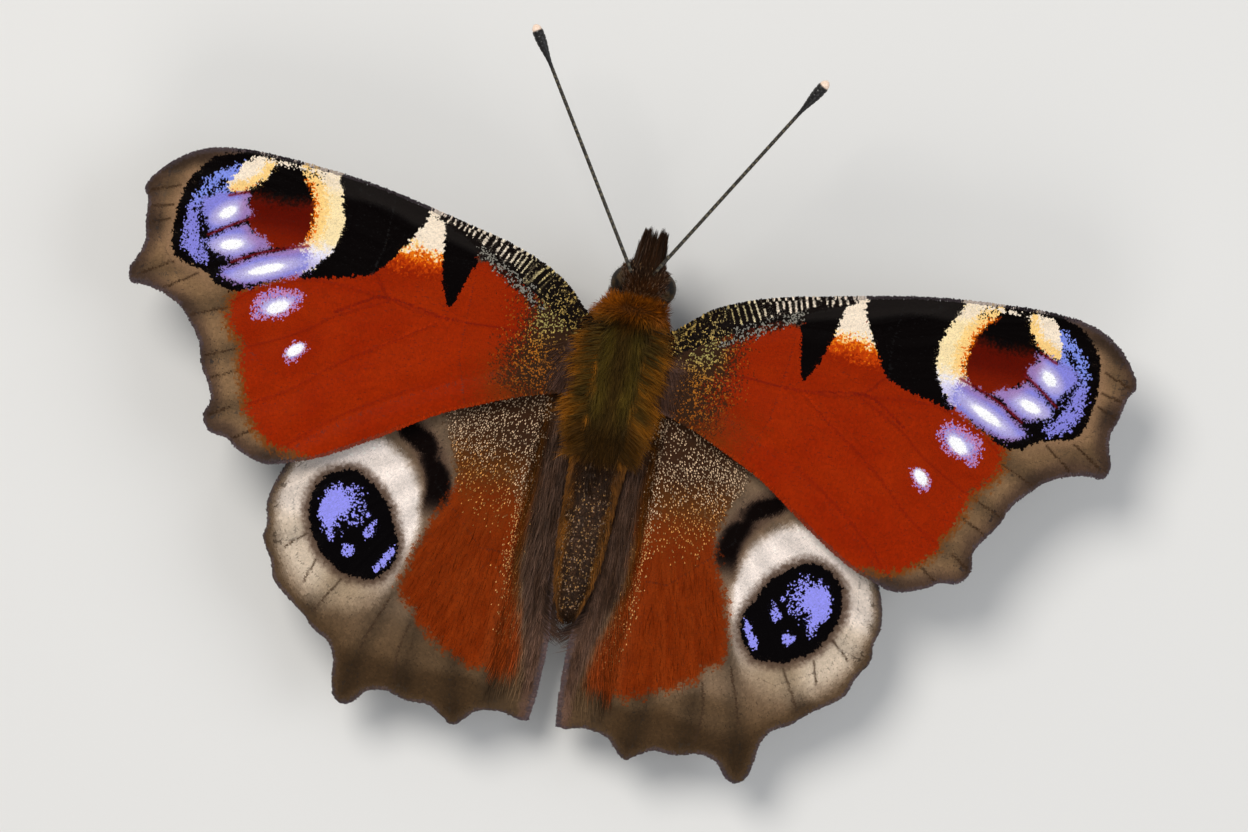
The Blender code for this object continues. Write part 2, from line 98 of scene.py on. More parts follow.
def nearLine(spots, line):
    # distance to a drawn line, and how far along it the nearest point lies
    nearest = np.full(len(spots), 1e9)
    travel = np.zeros(len(spots))
    before = 0.0
    for start, end in zip(line[:-1], line[1:]):
        along = end - start
        span = math.hypot(*along)
        t = np.clip((spots - start) @ along / max(span * span, 1e-12), 0, 1)
        gap = ((spots - start - t[:, None] * along) ** 2).sum(1)
        closer = gap < nearest
        nearest[closer] = gap[closer]
        travel[closer] = before + t[closer] * span
        before += span
    return np.sqrt(nearest), travel


def nearLines(spots, lines):
    return np.min([nearLine(spots, line)[0] for line in lines], axis=0)


def depthInside(spots, loop, reach=2.5):
    # distance to a closed outline: positive inside it, and never below minus the reach
    depth = np.full(len(spots), -reach)
    near = np.all((spots > loop.min(0) - reach) & (spots < loop.max(0) + reach), axis=1)
    close = spots[near]
    distance = nearLine(close, np.vstack([loop, loop[:1]]))[0]
    inside = np.zeros(len(close), bool)
    for (x0, y0), (x1, y1) in zip(loop, np.roll(loop, -1, axis=0)):
        if y0 != y1:
            level = (y0 > close[:, 1]) != (y1 > close[:, 1])
            inside ^= level & (close[:, 0] < x0 + (close[:, 1] - y0) * (x1 - x0) / (y1 - y0))
    depth[near] = np.where(inside, distance, -distance)
    return depth


def softNoise(spots, size, seed):
    # smooth noise from 0 to 1, with lumps of about the given size
    lattice = np.random.RandomState(seed).rand(97, 97)
    cell = spots / size
    low = np.floor(cell).astype(int)
    t = cell - low
    t = t * t * (3 - 2 * t)
    corner = [[lattice[(low[:, 0] + i) % 97, (low[:, 1] + j) % 97] for j in (0, 1)] for i in (0, 1)]
    nearSide = corner[0][0] * (1 - t[:, 1]) + corner[0][1] * t[:, 1]
    farSide = corner[1][0] * (1 - t[:, 1]) + corner[1][1] * t[:, 1]
    return nearSide * (1 - t[:, 0]) + farSide * t[:, 0]


# Paint: colours are kept as the 0 to 255 values seen on the animal until they are written to a mesh

def evenPaint(colour, count):
    return np.tile(np.array(colour, float), (count, 1))


def mixPaint(colourA, colourB, share):
    share = np.asarray(share, float)[:, None]
    return np.asarray(colourA, float) * (1 - share) + np.asarray(colourB, float) * share


def cover(paint, colour, chance, draw, grit=1.0):
    # grit is the share of the change that falls scale by scale; skin, which has no draw, takes a plain blend
    if draw is not None:
        whole = (draw.rand(len(chance)) < chance).astype(float)
        chance = chance * (1 - grit) + whole * grit
    return mixPaint(paint, colour, chance)


def finishPaint(paint, spread, draw):
    if draw is not None:
        paint = paint * (1 + spread * (draw.rand(len(paint), 1) - 0.5))
    return np.clip(paint, 0, 255)


def toLinear(paint):
    share = paint / 255
    return np.where(share <= 0.04045, share / 12.92, ((share + 0.055) / 1.055) ** 2.4)


# Meshes from arrays

def newPiece(name, points, triangles, material, slotName, replaces=(), paint=None, unwrap=None, smooth=False):
    mesh = bpy.data.meshes.new(name)
    mesh.vertices.add(len(points))
    mesh.vertices.foreach_set("co", ((points + middle) * mm).astype(np.float32).ravel())
    mesh.loops.add(triangles.size)
    mesh.loops.foreach_set("vertex_index", triangles.astype(np.int32).ravel())
    mesh.polygons.add(len(triangles))
    mesh.polygons.foreach_set("loop_start", np.arange(0, triangles.size, 3, dtype=np.int32))
    mesh.update(calc_edges=True)
    mesh.polygons.foreach_set("use_smooth", np.full(len(triangles), smooth))
    if paint is not None:
        layer = mesh.color_attributes.new("marking", "FLOAT_COLOR", "POINT")
        colours = np.hstack([toLinear(paint), np.ones((len(paint), 1))])
        layer.data.foreach_set("color", colours.astype(np.float32).ravel())
    if unwrap is not None:
        perCorner = unwrap if len(unwrap) == triangles.size else unwrap[triangles.ravel()]
        mesh.uv_layers.new(name="OFBake").data.foreach_set("uv", perCorner.astype(np.float32).ravel())
    mesh.materials.append(material)
    piece = bpy.data.objects.new(name, mesh)
    butterfly.objects.link(piece)
    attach(piece, "root")
    if replaces:
        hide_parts(*replaces)
    return piece


def joinShapes(shapes):
    # one set of arrays from several (points, triangles, ...), the triangles renumbered
    start = 0
    triangles = []
    for shape in shapes:
        triangles.append(shape[1] + start)
        start += len(shape[0])
    joined = [np.vstack([shape[0] for shape in shapes]), np.vstack(triangles)]
    for k in range(2, len(shapes[0])):
        joined.append(np.vstack([shape[k] for shape in shapes]))
    return joined


def unit(vectors):
    return vectors / np.maximum(np.linalg.norm(vectors, axis=-1, keepdims=True), 1e-9)


patchSize = 0.003                                # side of the patch that a scale or hair has on the unwrap

def wingScales(roots, lie, normal, length, width, lift, paint, unwrap):
    # one closed, slightly raised shield for each root: a narrow root, a broad tip and a point underneath
    across = np.cross(normal, lie)
    places = ((0.0, 0.0, -0.1), (1.0, -0.5, 1.0), (1.0, 0.5, 1.0), (0.6, 0.0, -0.4))
    corners = [roots + lie * (length * t)[:, None] + across * (width * s)[:, None]
               + normal * (lift * h)[:, None] for t, s, h in places]
    points = np.stack(corners, 1).reshape(-1, 3)
    pattern = np.array([(0, 1, 2), (1, 0, 3), (2, 1, 3), (0, 2, 3)])
    triangles = (pattern[None] + 4 * np.arange(len(roots))[:, None, None]).reshape(-1, 3)
    offsets = np.array([(0, -0.5), (0.5, 0.5), (-0.5, 0.5), (0, 0)]) * patchSize
    return points, triangles, np.repeat(paint, 4, axis=0), (unwrap[:, None] + offsets[None]).reshape(-1, 2)


def hairs(roots, lie, normal, length, width, rise, curl, paint, unwrap, rings=2, tipLit=1.15, rootShade=0.6):
    # three-sided hairs that taper to a point; the root ring is sunk under the skin
    across = unit(np.cross(normal, lie))
    steps = np.linspace(0, 1, rings + 1)
    side = [(math.cos(a), math.sin(a)) for a in (math.pi / 2, math.pi * 7 / 6, math.pi * 11 / 6)]
    points, paints = [], []
    for k, t in enumerate(steps):
        spine = (roots + lie * (length * t * (1 - 0.15 * rise * t))[:, None]
                 + normal * (length * rise * (1 - (1 - t) ** 2) - 0.03 * (t == 0))[:, None]
                 + across * (length * curl * t * t)[:, None])
        # painted shade and light: each hair is painted darker at its root and lighter towards its tip
        shade = rootShade + (tipLit - rootShade) * t
        if k == rings:
            points.append(spine)
            paints.append(paint * shade)
            continue
        radius = width / 2 * (1 - 0.45 * t)
        for c, s in side:
            points.append(spine + (across * c + normal * s) * radius[:, None])
            paints.append(paint * shade)
    each = 3 * rings + 1
    pattern = [(0, 2, 1)]
    for k in range(rings - 1):
        for i in range(3):
            n = (i + 1) % 3
            pattern += [(3 * k + i, 3 * k + n, 3 * k + 3 + n), (3 * k + i, 3 * k + 3 + n, 3 * k + 3 + i)]
    last = 3 * (rings - 1)
    pattern += [(last + i, last + (i + 1) % 3, each - 1) for i in range(3)]
    pattern = np.array(pattern)
    triangles = (pattern[None] + each * np.arange(len(roots))[:, None, None]).reshape(-1, 3)
    spread = np.array([(0.4 * (k % 3 - 1), t) for k, t in enumerate(np.linspace(-0.5, 0.5, each))]) * patchSize
    return (np.stack(points, 1).reshape(-1, 3), triangles,
            np.clip(np.stack(paints, 1).reshape(-1, 3), 0, 255),
            (unwrap[:, None] + spread[None]).reshape(-1, 2))


# Node groups and materials

def newGroup(name, inputs, outputs):
    group = bpy.data.node_groups.new(name, "ShaderNodeTree")
    for label, kind, value in inputs:
        socket = group.interface.new_socket(name=label, in_out="INPUT", socket_type=kind)
        socket.default_value = value
    for label, kind in outputs:
        group.interface.new_socket(name=label, in_out="OUTPUT", socket_type=kind)
    return group, group.nodes.new("NodeGroupInput"), group.nodes.new("NodeGroupOutput")


def makeFineGrain():
    # uneven value and gloss in lumps of one size, with a height for a Bump node
    group, source, sink = newGroup(
        "Fine grain",
        [("Colour", "NodeSocketColor", (0.5, 0.5, 0.5, 1)), ("Lumps per metre", "NodeSocketFloat", 3000.0),
         ("Shade range", "NodeSocketFloat", 0.3), ("Gloss low", "NodeSocketFloat", 0.45),
         ("Gloss high", "NodeSocketFloat", 0.7)],
        [("Colour", "NodeSocketColor"), ("Roughness", "NodeSocketFloat"), ("Height", "NodeSocketFloat")])
    nodes, links = group.nodes, group.links
    place = nodes.new("ShaderNodeTexCoord")
    noise = nodes.new("ShaderNodeTexNoise")
    noise.inputs["Detail"].default_value = 3.0
    links.new(place.outputs["Object"], noise.inputs["Vector"])
    links.new(source.outputs["Lumps per metre"], noise.inputs["Scale"])
    shade = nodes.new("ShaderNodeMath")
    shade.operation = "SUBTRACT"
    shade.inputs[1].default_value = 0.5
    links.new(noise.outputs["Fac"], shade.inputs[0])
    gain = nodes.new("ShaderNodeMath")
    gain.operation = "MULTIPLY_ADD"
    gain.inputs[2].default_value = 1.0
    links.new(shade.outputs[0], gain.inputs[0])
    links.new(source.outputs["Shade range"], gain.inputs[1])
    tint = nodes.new("ShaderNodeVectorMath")
    tint.operation = "SCALE"
    links.new(source.outputs["Colour"], tint.inputs[0])
    links.new(gain.outputs[0], tint.inputs["Scale"])
    gloss = nodes.new("ShaderNodeMapRange")
    links.new(noise.outputs["Fac"], gloss.inputs["Value"])
    links.new(source.outputs["Gloss low"], gloss.inputs["To Min"])
    links.new(source.outputs["Gloss high"], gloss.inputs["To Max"])
    links.new(tint.outputs["Vector"], sink.inputs["Colour"])
    links.new(gloss.outputs["Result"], sink.inputs["Roughness"])
    links.new(noise.outputs["Fac"], sink.inputs["Height"])
    return group


fineGrain = makeFineGrain()


def coatMaterial(name, look):
    # the marking painted on the mesh, through the fine grain
    material = bpy.data.materials.new(name)
    material.use_nodes = True
    nodes, links = material.node_tree.nodes, material.node_tree.links
    shader = nodes["Principled BSDF"]
    marking = nodes.new("ShaderNodeAttribute")
    marking.attribute_name = "marking"
    grain = nodes.new("ShaderNodeGroup")
    grain.node_tree = fineGrain
    for label in ("Lumps per metre", "Shade range", "Gloss low", "Gloss high"):
        grain.inputs[label].default_value = look[label]
    links.new(marking.outputs["Color"], grain.inputs["Colour"])
    links.new(grain.outputs["Colour"], shader.inputs["Base Color"])
    links.new(grain.outputs["Roughness"], shader.inputs["Roughness"])
    if look["bump"] > 0:
        bump = nodes.new("ShaderNodeBump")
        bump.inputs["Strength"].default_value = 0.6
        bump.inputs["Distance"].default_value = look["bump"] * mm
        links.new(grain.outputs["Height"], bump.inputs["Height"])
        links.new(bump.outputs["Normal"], shader.inputs["Normal"])
    shader.inputs["Specular IOR Level"].default_value = look["specular"]
    shader.inputs["Sheen Weight"].default_value = look["sheen"]
    shader.inputs["Sheen Roughness"].default_value = 0.4
    shader.inputs["Coat Weight"].default_value = look["coat"]
    shader.inputs["Coat Roughness"].default_value = 0.2
    return material


looks = {
    "wing scales": {"Lumps per metre": 1400.0, "Shade range": 0.14, "Gloss low": 0.5, "Gloss high": 0.72,
                    "bump": 0.0, "specular": 0.03, "sheen": 0.0, "coat": 0.0},
    "wing membrane": {"Lumps per metre": 4000.0, "Shade range": 0.4, "Gloss low": 0.4, "Gloss high": 0.6,
                      "bump": 0.02, "specular": 0.1, "sheen": 0.0, "coat": 0.0},
    "fur": {"Lumps per metre": 2500.0, "Shade range": 0.5, "Gloss low": 0.4, "Gloss high": 0.6,
            "bump": 0.0, "specular": 0.08, "sheen": 0.0, "coat": 0.0},
    "body skin": {"Lumps per metre": 6000.0, "Shade range": 0.6, "Gloss low": 0.6, "Gloss high": 0.85,
                  "bump": 0.06, "specular": 0.1, "sheen": 0.0, "coat": 0.0},
    "horny limb": {"Lumps per metre": 9000.0, "Shade range": 0.6, "Gloss low": 0.3, "Gloss high": 0.55,
                   "bump": 0.02, "specular": 0.4, "sheen": 0.0, "coat": 0.1},
}
materials = {name: coatMaterial(name, look) for name, look in looks.items()}


# Stage, lights and camera

stage = {
    "floor size": 3000.0, "floor colour": (0.74, 0.73, 0.71),
    "view middle": (0.93, -2.61, 7.0),           # the point of the drawing at the photograph's centre
    "view width": 79.25, "view turn": 11.5,      # width seen at the wings, and the turn of the body in the photo
    "lens": 200.0, "sensor": 36.0,
    "world": (0.82, 0.87, 0.95), "world strength": 0.30,
    "lamps": (("Key", (-210, 190, 420), 260, 1.75, (1.0, 0.97, 0.92)),
              ("Fill", (300, 60, 260), 300, 0.5, (0.93, 0.96, 1.0)),
              ("Back", (40, -330, 240), 260, 0.4, (1.0, 0.98, 0.95))),
}


def makeStage():
    half = stage["floor size"] / 2 * mm
    mesh = bpy.data.meshes.new("floor")
    mesh.from_pydata([(-half, -half, 0), (half, -half, 0), (half, half, 0), (-half, half, 0)], [], [(0, 1, 2, 3)])
    floor = bpy.data.objects.new("floor", mesh)
    bpy.context.scene.collection.objects.link(floor)
    material = bpy.data.materials.new("plain floor")
    material.use_nodes = True
    shader = material.node_tree.nodes["Principled BSDF"]
    shader.inputs["Base Color"].default_value = (*stage["floor colour"], 1)
    shader.inputs["Roughness"].default_value = 0.9
    shader.inputs["Specular IOR Level"].default_value = 0.1
    mesh.materials.append(material)
    world = bpy.data.worlds.new("studio")
    world.use_nodes = True
    sky = world.node_tree.nodes["Background"]
    sky.inputs["Color"].default_value = (*stage["world"], 1)
    sky.inputs["Strength"].default_value = stage["world strength"]
    bpy.context.scene.world = world
    for name, place, size, power, colour in stage["lamps"]:
        light = bpy.data.lights.new(name, "AREA")
        light.shape = "DISK"
        light.size = size * mm
        light.energy = power
        light.color = colour
        lamp = bpy.data.objects.new(name, light)
        lamp.location = Vector(place) * mm
        lamp.rotation_mode = "QUATERNION"
        lamp.rotation_quaternion = (-lamp.location).to_track_quat("-Z", "Y")
        bpy.context.scene.collection.objects.link(lamp)


def makeCamera():
    data = bpy.data.cameras.new("camera")
    data.lens, data.sensor_width = stage["lens"], stage["sensor"]
    data.clip_start, data.clip_end = 0.01, 10.0
    camera = bpy.data.objects.new("camera", data)
    aim = np.array(stage["view middle"]) + middle
    distance = stage["view width"] * stage["lens"] / stage["sensor"]
    camera.location = Vector(aim + np.array([0, 0, distance])) * mm
    camera.rotation_euler = (0, 0, math.radians(stage["view turn"]))
    bpy.context.scene.collection.objects.link(camera)
    bpy.context.scene.camera = camera


makeStage()
makeCamera()
bpy.context.scene.view_settings.view_transform = "Standard"
print("stage: floor, lights and camera")


# Wings. Each is drawn once, X outward from the midline and Y forward, and used on both sides.

wingForm = {
    "root height": 7.45, "span rise": 0.05, "span droop": 0.0031, "chord slope": 0.045,
    "hind drop": 1.18, "back droop": 0.0035, "back droop from": -8.0,
    "fold x": 3.6, "fold width": 2.6, "fold depth": 1.3,
    "pleat": 0.20, "pleat reach": 5.5, "pleat half": 1.2,
    "half thickness": 0.045, "vein rise": {1: 0.02, -1: 0.06}, "vein half width": 0.13, "edge inset": 0.16,
    "net step": 0.36, "outline step": 0.2, "map step": 0.08,
}
scaleForm = {
    # plain where the ground is even, and fine in the patterned zones; inset is from the skin's edge
    "plain": {"pitch": 0.142, "length": 0.295, "width": 0.21, "inset": 0.02},
    "fine": {"pitch": 0.081, "length": 0.161, "width": 0.114, "inset": 0.02},
    "strip": {"pitch": 0.07, "row": 0.07, "length": 0.14, "width": 0.095, "inset": 0.02},
    "under": {"pitch": 0.235, "length": 0.45, "width": 0.33, "inset": 0.2},
    "lift": 0.018, "yaw": 0.14, "shade spread": 0.10,
}
stripForm = {                                    # the striped strip's depth, along the front edge
    "travel": (0.6, 3.9, 6.1, 8.2, 9.3, 10.8, 12.3, 13.9), "width": (1.5, 1.95, 1.85, 1.5, 1.2, 0.85, 0.6, 0.3),
    "first bars": 3.9, "bar pitch": 0.41,
}

forewing = {
    "name": "forewing", "skew": 0.055, "shift": 0.05, "root": (-3.0, 1.5), "hub": (0.0, 1.0), "hind": False,
    "outline": [
        [(1.6, 1.0), (2.0, 2.6), (3.0, 3.45), (5.0, 5.15), (8.0, 6.45), (12.0, 7.4), (18.0, 8.6),
         (24.0, 9.15), (27.0, 9.12), (29.0, 8.7), (30.6, 7.75), (31.7, 6.5), (32.12, 5.6),
         (31.75, 4.9), (31.62, 4.0), (31.5, 3.3), (31.25, 2.4), (31.45, 1.3), (31.8, 0.4),
         (31.55, -0.42), (30.6, -0.45), (29.2, -0.78), (28.0, -1.4), (27.2, -2.2), (26.25, -3.4),
         (25.85, -4.6), (25.1, -5.8), (24.65, -6.8), (24.85, -7.9), (24.3, -8.75), (23.1, -8.98),
         (22.3, -9.5), (20.5, -10.08), (19.2, -9.8), (17.2, -9.05), (15.0, -7.8), (13.0, -6.5),
         (10.5, -4.85), (8.0, -3.65), (5.5, -2.6), (3.2, -1.9), (1.6, -1.5)],
        [(1.6, -1.5), (1.6, 1.0)],
    ],
    "costa": [(2.0, 2.6), (3.0, 3.45), (5.0, 5.15), (8.0, 6.45), (12.0, 7.4), (18.0, 8.6), (24.0, 9.15)],
    "veins": {
        "subcosta": [(2.4, 2.2), (5.0, 4.3), (9.0, 6.05), (14.0, 7.6)],
        "radius": [(2.4, 1.7), (6.0, 3.7), (10.0, 5.2), (15.6, 5.6), (20.0, 6.9), (26.0, 8.0), (31.0, 7.2)],
        "radial branch 1": [(10.0, 5.2), (14.0, 6.7), (18.5, 8.3)],
        "radial branch 2": [(15.6, 5.6), (20.0, 7.7), (25.0, 8.9)],
        "radial branch 5": [(20.0, 6.9), (23.5, 7.1), (26.0, 6.4), (29.5, 6.1), (31.8, 5.5)],
        "median 1": [(15.6, 5.6), (16.2, 4.4), (21.0, 5.2), (25.0, 4.8), (27.5, 3.7), (31.4, 3.4)],
        "median 2": [(16.2, 4.4), (16.6, 3.3), (21.0, 3.9), (24.0, 2.95), (25.6, 2.0), (31.6, 0.2)],
        "cubitus": [(2.4, 1.2), (5.5, 1.35), (11.2, 1.15), (14.8, 1.65), (16.6, 3.3)],
        "median 3": [(14.8, 1.65), (20.0, 1.9), (23.5, 0.6), (25.5, -0.9), (27.9, -1.5)],
        "cubital 1": [(14.8, 1.65), (18.0, 0.0), (20.3, -1.6), (23.4, -3.2), (25.9, -4.4)],
        "cubital 2": [(11.2, 1.15), (13.6, -0.5), (17.0, -2.8), (20.4, -5.6), (24.8, -7.8)],
        "anal": [(2.6, 0.6), (6.2, -0.6), (9.0, -1.9), (13.5, -4.3), (17.0, -6.7), (20.4, -9.9)],
    },
    "shapes": {
        "field": [(0, -13), (15.5, -10), (17.8, -9.0), (19.4, -8.9), (20.5, -8.45), (21.5, -7.6), (22.1, -6.9),
                  (22.4, -5.9), (22.8, -5.0), (23.15, -4.2), (23.4, -3.0), (24.2, -2.2), (24.7, -1.3),
                  (24.8, -0.2), (24.4, 0.4), (23.4, 0.9), (22.0, 2.0), (22.0, 9.5), (0, 12)],
        "triangle": [(9.0, 5.3), (9.9, 5.3), (10.2, 5.1), (10.45, 4.7), (10.6, 4.1), (10.8, 3.4), (10.95, 2.8),
                     (11.1, 2.2), (11.35, 1.9), (11.65, 2.3), (11.95, 2.9), (12.2, 3.6), (12.4, 4.2),
                     (12.6, 4.8), (12.9, 5.5), (13.1, 6.2), (13.3, 6.8), (13.4, 7.9), (9.0, 6.9)],
        "patch": [(13.6, 7.9), (13.7, 7.3), (13.9, 6.8), (14.2, 6.3), (14.5, 5.75), (14.95, 5.0),
                  (15.4, 4.35), (15.9, 3.75), (16.35, 3.2), (16.95, 2.8), (17.9, 2.5), (19.0, 2.28),
                  (20.1, 2.05), (21.0, 1.9), (21.4, 5.0), (20.8, 9.3), (17.0, 9.0)],
        "costal spot": [(13.0, 7.8), (12.85, 6.8), (12.7, 6.2), (12.65, 5.6), (12.55, 4.9), (12.4, 4.2),
                        (12.6, 3.5), (14.2, 3.3), (15.9, 3.3), (15.75, 3.9), (15.3, 4.7), (14.9, 5.4),
                        (14.6, 5.9), (14.35, 6.4), (14.1, 6.9), (14.0, 7.4), (14.05, 7.9)],
        "eye black": [(22.0, 9.3), (25.4, 9.1), (27.2, 8.75), (28.4, 8.1), (29.15, 7.2), (29.6, 5.9),
                      (29.7, 4.4), (29.55, 2.6), (29.1, 1.75), (28.0, 1.35), (26.9, 1.05), (26.1, 0.45),
                      (25.2, 0.22), (24.4, 0.38), (23.4, 0.9), (22.0, 1.8), (21.5, 4.0)],
        "ring": [(20.25, 8.85), (20.05, 8.2), (19.7, 7.5), (19.4, 6.7), (19.2, 6.0), (19.17, 5.2), (19.3, 4.4),
                 (19.6, 3.7), (20.1, 2.95), (20.7, 2.35), (21.3, 2.1), (21.9, 3.0), (21.8, 4.0), (21.8, 5.5),
                 (22.0, 7.0), (22.6, 7.9), (22.6, 8.9)],
        "core": [(22.6, 8.65), (22.3, 7.95), (21.7, 7.35), (21.35, 6.5), (21.2, 5.5), (21.25, 4.5),
                 (21.6, 3.85), (22.6, 3.45), (23.6, 3.45), (24.4, 4.0), (25.1, 4.8), (25.35, 5.7),
                 (25.35, 6.4), (24.9, 6.95), (24.3, 7.6), (24.1, 8.65)],
        "upper cream": [(24.35, 8.75), (25.6, 8.85), (26.15, 8.4), (26.55, 7.75), (26.85, 6.95), (26.75, 6.35),
                        (26.1, 6.45), (25.5, 6.85), (24.95, 7.35), (24.5, 8.0)],
        "blue": [(26.1, 8.35), (27.1, 7.98), (27.95, 7.3), (28.5, 6.6), (28.9, 5.7), (29.12, 4.6), (29.1, 3.4),
                 (28.8, 2.4), (28.1, 1.75), (27.3, 1.5), (26.8, 1.8), (27.0, 2.4), (27.6, 3.2), (27.7, 4.5),
                 (27.3, 5.8), (26.6, 6.3), (26.4, 7.2)],
        "lilac A": [(25.3, 6.5), (26.5, 6.4), (27.8, 6.1), (28.4, 5.4), (28.0, 4.6), (27.6, 4.0), (27.3, 3.6),
                    (25.2, 4.8), (24.85, 5.4), (25.4, 6.0)],
        "lilac B": [(25.2, 4.65), (27.2, 3.4), (27.4, 2.9), (27.1, 2.5), (26.6, 2.35), (25.5, 2.1),
                    (24.0, 2.95), (23.2, 3.4), (23.6, 3.9), (24.6, 4.2)],
        "lilac C": [(20.3, 3.4), (21.3, 3.85), (22.5, 3.45), (24.0, 2.85), (25.3, 1.95), (26.1, 1.5),
                    (26.05, 1.1), (25.3, 0.72), (24.3, 0.65), (23.4, 0.95), (22.0, 1.5), (21.0, 1.95),
                    (20.3, 2.6)],
        "halo": [(20.5, 0.95), (21.4, 1.15), (22.1, 1.05), (22.8, 0.7), (23.35, 0.35), (23.55, -0.1),
                 (23.45, -0.6), (23.5, -1.25), (23.1, -1.35), (22.4, -1.1), (21.8, -1.0), (21.2, -0.75),
                 (20.85, -0.3), (20.5, 0.25)],
        "small spot": [(19.3, -2.4), (19.8, -2.05), (20.3, -2.1), (20.7, -2.6), (20.9, -3.1), (20.75, -3.5),
                       (20.4, -3.6), (19.9, -3.3), (19.6, -2.8)],
    },
    # centre, half length, half width and turn in degrees of the white spots
    "whites": [((26.5, 5.05), 0.58, 0.32, -38), ((25.75, 3.1), 0.72, 0.31, -18), ((23.2, 2.0), 1.15, 0.27, -24),
               ((21.9, -0.2), 0.70, 0.36, -32), ((20.15, -2.65), 0.56, 0.30, -42)],
    "red lines": [[(24.9, 5.0), (26.0, 4.35), (27.4, 3.4)],
                  [(21.0, 3.95), (22.5, 3.45), (24.0, 2.85), (25.5, 2.0)],
                  [(25.5, 6.6), (26.7, 6.1)]],
    "margin lines": [[(29.9, 6.15), (31.5, 5.5)], [(30.0, 4.85), (31.2, 4.5)], [(30.0, 3.95), (31.5, 3.3)],
                     [(29.1, 1.3), (31.0, 0.1)], [(27.4, 0.9), (29.4, -0.6)], [(24.6, -0.7), (27.0, -1.7)],
                     [(23.5, -3.2), (25.6, -4.1)], [(23.2, -4.6), (25.3, -5.6)], [(23.2, -7.0), (24.8, -7.9)],
                     [(20.5, -7.5), (22.7, -8.95)]],
    "fine zones": [
        [(18.6, 10), (30.8, 10), (30.6, 3.0), (28.5, 0.4), (24.8, -1.2), (23.9, -2.4), (21.4, -4.4), (18.4, -3.8),
         (18.4, -1.4), (20.2, 1.0), (20.0, 1.9), (18.6, 3.6)],
        [(0.0, 9.0), (16.4, 10.0), (16.2, 5.0), (16.6, 2.6), (15.2, 2.6), (14.0, 3.0), (10.4, 1.4), (10.2, 4.6),
         (9.9, -1.0), (8.6, -4.4), (0, -4.4)]],
    "gully": [(27.3, 6.9), (28.1, 5.6), (28.1, 4.6), (27.8, 3.6), (27.5, 2.9), (26.6, 2.0), (26.2, 1.9)],
    "cell line": [(5.0, 1.35), (8.0, 1.3), (11.2, 1.2), (15.0, 1.75), (16.1, 1.5), (18.2, 0.2)],
    "spot line": [(11.4, 1.2), (13.0, 0.05), (15.0, -1.3)],
    "colours": {
        "red": (140, 31, 0), "red pale": (149, 38, 1), "red brown": (112, 47, 8), "edge orange": (118, 62, 20),
        "margin inner": (110, 85, 60), "margin outer": (72, 54, 42), "rim": (68, 58, 60), "tan": (144, 111, 82),
        # band is the grey of a painted sheen on the black scales along the front edge
        "vein": (50, 33, 20), "black": (4, 1, 1), "band": (29, 25, 23), "strip": (16, 10, 8),
        "cream": (243, 226, 203), "yellow": (250, 208, 132), "orange": (226, 112, 14), "deep orange": (190, 62, 3),
        "ring": (247, 224, 173), "ring brown": (104, 36, 2), "maroon": (88, 11, 0), "maroon low": (118, 24, 1),
        "fringe": (78, 68, 76),
        "blue": (126, 142, 226), "violet": (132, 130, 214), "lilac": (176, 168, 218),
        "pink lilac": (166, 116, 160), "white": (254, 253, 255), "line": (112, 14, 20), "cell line": (112, 20, 6),
        "base": (50, 31, 18), "base purple": (80, 58, 50), "gold": (186, 128, 46), "sulphur": (184, 170, 104),
        "fleck gold": (158, 98, 32), "fleck rust": (150, 68, 14), "fleck sulphur": (158, 144, 84), "fleck grey": (132, 128, 118), "shadow": (66, 60, 54), "under": (36, 27, 22), "under band": (88, 72, 56),
    },
}


def outlineOf(wing, step):
    return np.vstack([smoothLine(stretch, step)[:-1] for stretch in wing["outline"]])


def prepareWing(wing):
    # the outline, the veins, and a fine map of the distances to both, from which every scale reads
    form = wingForm
    edge = outlineOf(wing, form["outline step"])
    ahead = unit(np.roll(edge, -1, axis=0) - np.roll(edge, 1, axis=0))
    inward = np.stack([ahead[:, 1], -ahead[:, 0]], 1)         # the outlines run clockwise
    wing["edge"] = edge
    wing["skin edge"] = edge + inward * form["edge inset"]
    wing["vein lines"] = [smoothLine(route, 0.5) for route in wing["veins"].values()]
    wing["costa line"] = smoothLine(wing["costa"], 0.4)
    wing["loops"] = {name: smoothLine(loop, 0.3, closed=True) for name, loop in wing["shapes"].items()}
    wing["low"], wing["high"] = edge.min(0), edge.max(0)
    start = wing["low"] - 0.5
    size = ((wing["high"] + 0.5 - start) / form["map step"]).astype(int) + 2
    i, j = np.meshgrid(np.arange(size[0]), np.arange(size[1]), indexing="ij")
    spots = start + np.stack([i, j], -1).reshape(-1, 2) * form["map step"]
    coarse = outlineOf(wing, 0.5)
    wing["map start"] = start
    wing["vein map"] = nearLines(spots, wing["vein lines"]).reshape(size)
    wing["edge map"] = nearLine(spots, np.vstack([coarse, coarse[:1]]))[0].reshape(size)


def readMap(wing, name, spots):
    grid = wing[name]
    cell = (spots - wing["map start"]) / wingForm["map step"]
    low = np.clip(cell.astype(int), 0, np.array(grid.shape) - 2)
    t = np.clip(cell - low, 0, 1)
    i, j = low.T
    nearSide = grid[i, j] * (1 - t[:, 1]) + grid[i, j + 1] * t[:, 1]
    farSide = grid[i + 1, j] * (1 - t[:, 1]) + grid[i + 1, j + 1] * t[:, 1]
    return nearSide * (1 - t[:, 0]) + farSide * t[:, 0]


def wingMiddle(wing, x, y):
    form = wingForm
    z = form["root height"] + form["span rise"] * x - form["span droop"] * x**2 + form["chord slope"] * (y - 2)
    if wing["hind"]:
        z = z - form["hind drop"] - form["back droop"] * np.maximum(0, form["back droop from"] - y) ** 2
        z = z - form["fold depth"] * smoothStep((form["fold x"] - x) / form["fold width"])
    return z


